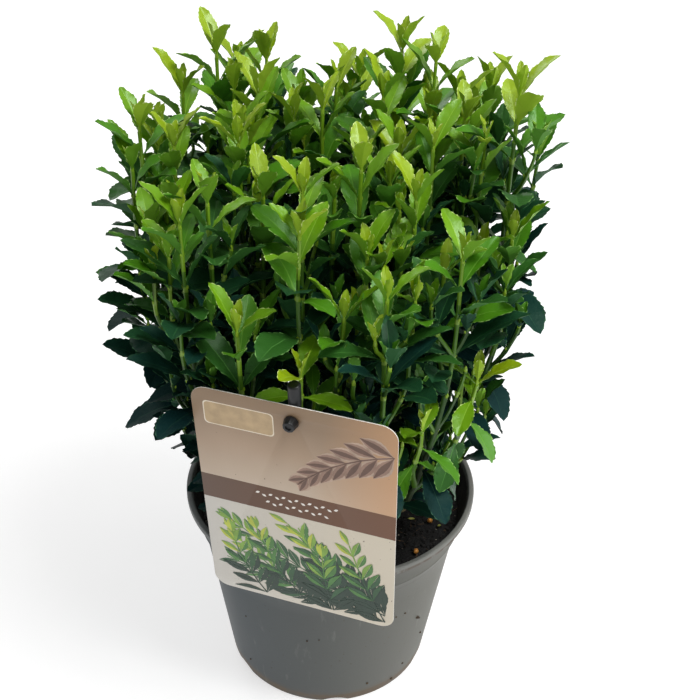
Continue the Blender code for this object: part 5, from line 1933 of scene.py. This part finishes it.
class SPINDLE_OT_foliage(bpy.types.Operator):
    """Grow the twigs and leaves of every mass of foliage"""

    bl_idname = "spindle.foliage"
    bl_label = "Grow Foliage"

    def execute(self, context):
        looks = context.scene.spindle_plant
        plant = Plant(looks)
        leaf_finish, twig_finish = leaf_materials(looks), twig_materials()
        for bed in plant.grow():
            twigs, leaves = "twigs_" + bed.mass.name, "leaves_" + bed.mass.name
            add_piece(twigs, bed.twigs.mesh(twigs, twig_finish), "leaf")
            add_piece(leaves, bed.leaves.mesh(leaves, leaf_finish), "leaf", "foliage_" + bed.mass.name)
        print("leaves:", plant.leaf_count)
        return {"FINISHED"}


def add_light(name, size, energy, place):
    """A round soft light, aimed at the middle of the plant."""
    lamp = bpy.data.lights.new(name, "AREA")
    lamp.shape = "DISK"
    lamp.size = size
    lamp.energy = energy
    item = loose_object(name, lamp)
    item.location = place
    item.rotation_euler = (LIGHT_TARGET - Vector(place)).to_track_quat("-Z", "Y").to_euler()


class SPINDLE_OT_stage(bpy.types.Operator):
    """Set up the pale floor, the soft light and the camera"""

    bl_idname = "spindle.stage"
    bl_label = "Set Up Stage"

    def execute(self, context):
        looks = context.scene.spindle_stage
        self.add_floor(looks)
        self.add_world(looks)
        add_light("key", 0.6, looks.key, (0.50, -0.35, 1.30))
        add_light("fill", 1.2, looks.fill, (-0.4, -1.4, 0.7))
        add_light("back", 0.6, looks.key * BACK_SHARE, (-0.55, 0.9, 1.1))
        add_light("side", 0.7, looks.key * SIDE_SHARE, (1.25, -0.30, 0.55))
        self.add_camera(context)
        return {"FINISHED"}

    def add_floor(self, looks):
        """A floor of matt paper, which takes a soft shadow and has no shine."""
        shape = bmesh.new()
        bmesh.ops.create_circle(shape, cap_ends=True, radius=4.0, segments=96)
        mesh = mesh_from_bmesh("studio_floor", shape)
        material, tree, shader = new_material("Matt studio paper", looks.floor, 0.9)
        surface(tree, shader, coat(tree, looks.floor, grain(tree, 25.0, 3.0), 0.03, blend="OVERLAY"))
        # The paper is lit more strongly further off, so that it stays white behind the plant
        place = add(tree, "ShaderNodeTexCoord").outputs["Object"]
        away = add(tree, "ShaderNodeVectorMath", {0: place}, operation="LENGTH")
        glow = add(tree, "ShaderNodeMapRange", {"Value": away.outputs["Value"], "From Min": 0.15,
                                                "From Max": 1.2, "To Min": 0.60, "To Max": 0.94})
        shader.inputs["Emission Color"].default_value = (1.0, 1.0, 1.0, 1.0)
        tree.links.new(glow.outputs[0], shader.inputs["Emission Strength"])
        mesh.materials.append(material)
        loose_object("studio_floor", mesh)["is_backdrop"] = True

    def add_world(self, looks):
        """A white studio all round."""
        world = bpy.data.worlds.new("Studio")
        world.use_nodes = True
        world.node_tree.nodes["Background"].inputs["Color"].default_value = (1.0, 1.0, 1.0, 1.0)
        world.node_tree.nodes["Background"].inputs["Strength"].default_value = looks.sky
        bpy.context.scene.world = world

    def add_camera(self, context):
        """A camera that looks down on the plant, rolled a little, as the photograph was taken."""
        forward = Vector((0.0, math.cos(CAMERA_ELEVATION), -math.sin(CAMERA_ELEVATION)))
        level = Vector((1.0, 0.0, 0.0))
        upright = level.cross(forward)
        turn = Matrix.Rotation(-CAMERA_ROLL, 3, forward)
        right, up = turn @ level, turn @ upright
        camera = loose_object("camera", bpy.data.cameras.new("camera"))
        camera.data.lens = STUDIO_LENS
        camera.data.clip_start = 0.01
        place = CAMERA_TARGET - forward * CAMERA_DISTANCE
        camera.matrix_world = matrix_from_axes(place, right, up, -forward)
        context.scene.camera = camera
        context.scene.view_settings.view_transform = "Standard"


class SPINDLE_PT_panel(bpy.types.Panel):
    """The spindle's sizes, colours and builders in the sidebar"""

    bl_idname = "SPINDLE_PT_panel"
    bl_label = "Potted Spindle"
    bl_space_type = "VIEW_3D"
    bl_region_type = "UI"
    bl_category = "Spindle"

    def draw(self, context):
        for group in PROPERTY_GROUPS:
            box = self.layout.box()
            holder = getattr(context.scene, group)
            for name in holder.bl_rna.properties.keys():
                if name not in ("rna_type", "name"):
                    box.prop(holder, name)
        for operator in OPERATORS:
            self.layout.operator(operator.bl_idname)


PROPERTY_GROUPS = {
    "spindle_pot": SPINDLE_PG_pot,
    "spindle_label": SPINDLE_PG_label,
    "spindle_plant": SPINDLE_PG_plant,
    "spindle_stage": SPINDLE_PG_stage,
}
OPERATORS = (SPINDLE_OT_pot, SPINDLE_OT_compost, SPINDLE_OT_label, SPINDLE_OT_limbs,
             SPINDLE_OT_foliage, SPINDLE_OT_stage)
CLASSES = (*PROPERTY_GROUPS.values(), *OPERATORS, SPINDLE_PT_panel)


def register():
    for each in CLASSES:
        bpy.utils.register_class(each)
    for name, group in PROPERTY_GROUPS.items():
        setattr(bpy.types.Scene, name, PointerProperty(type=group))


def unregister():
    for name in PROPERTY_GROUPS:
        delattr(bpy.types.Scene, name)
    for each in reversed(CLASSES):
        bpy.utils.unregister_class(each)


def main():
    register()
    bpy.ops.spindle.stage()
    bpy.ops.spindle.pot()
    bpy.ops.spindle.compost()
    bpy.ops.spindle.label()
    bpy.ops.spindle.limbs()
    bpy.ops.spindle.foliage()
    sizes = [[list(corner) for corner in box] for box in (CAD_BOX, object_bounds())]


if __name__ == "__main__":
    main()
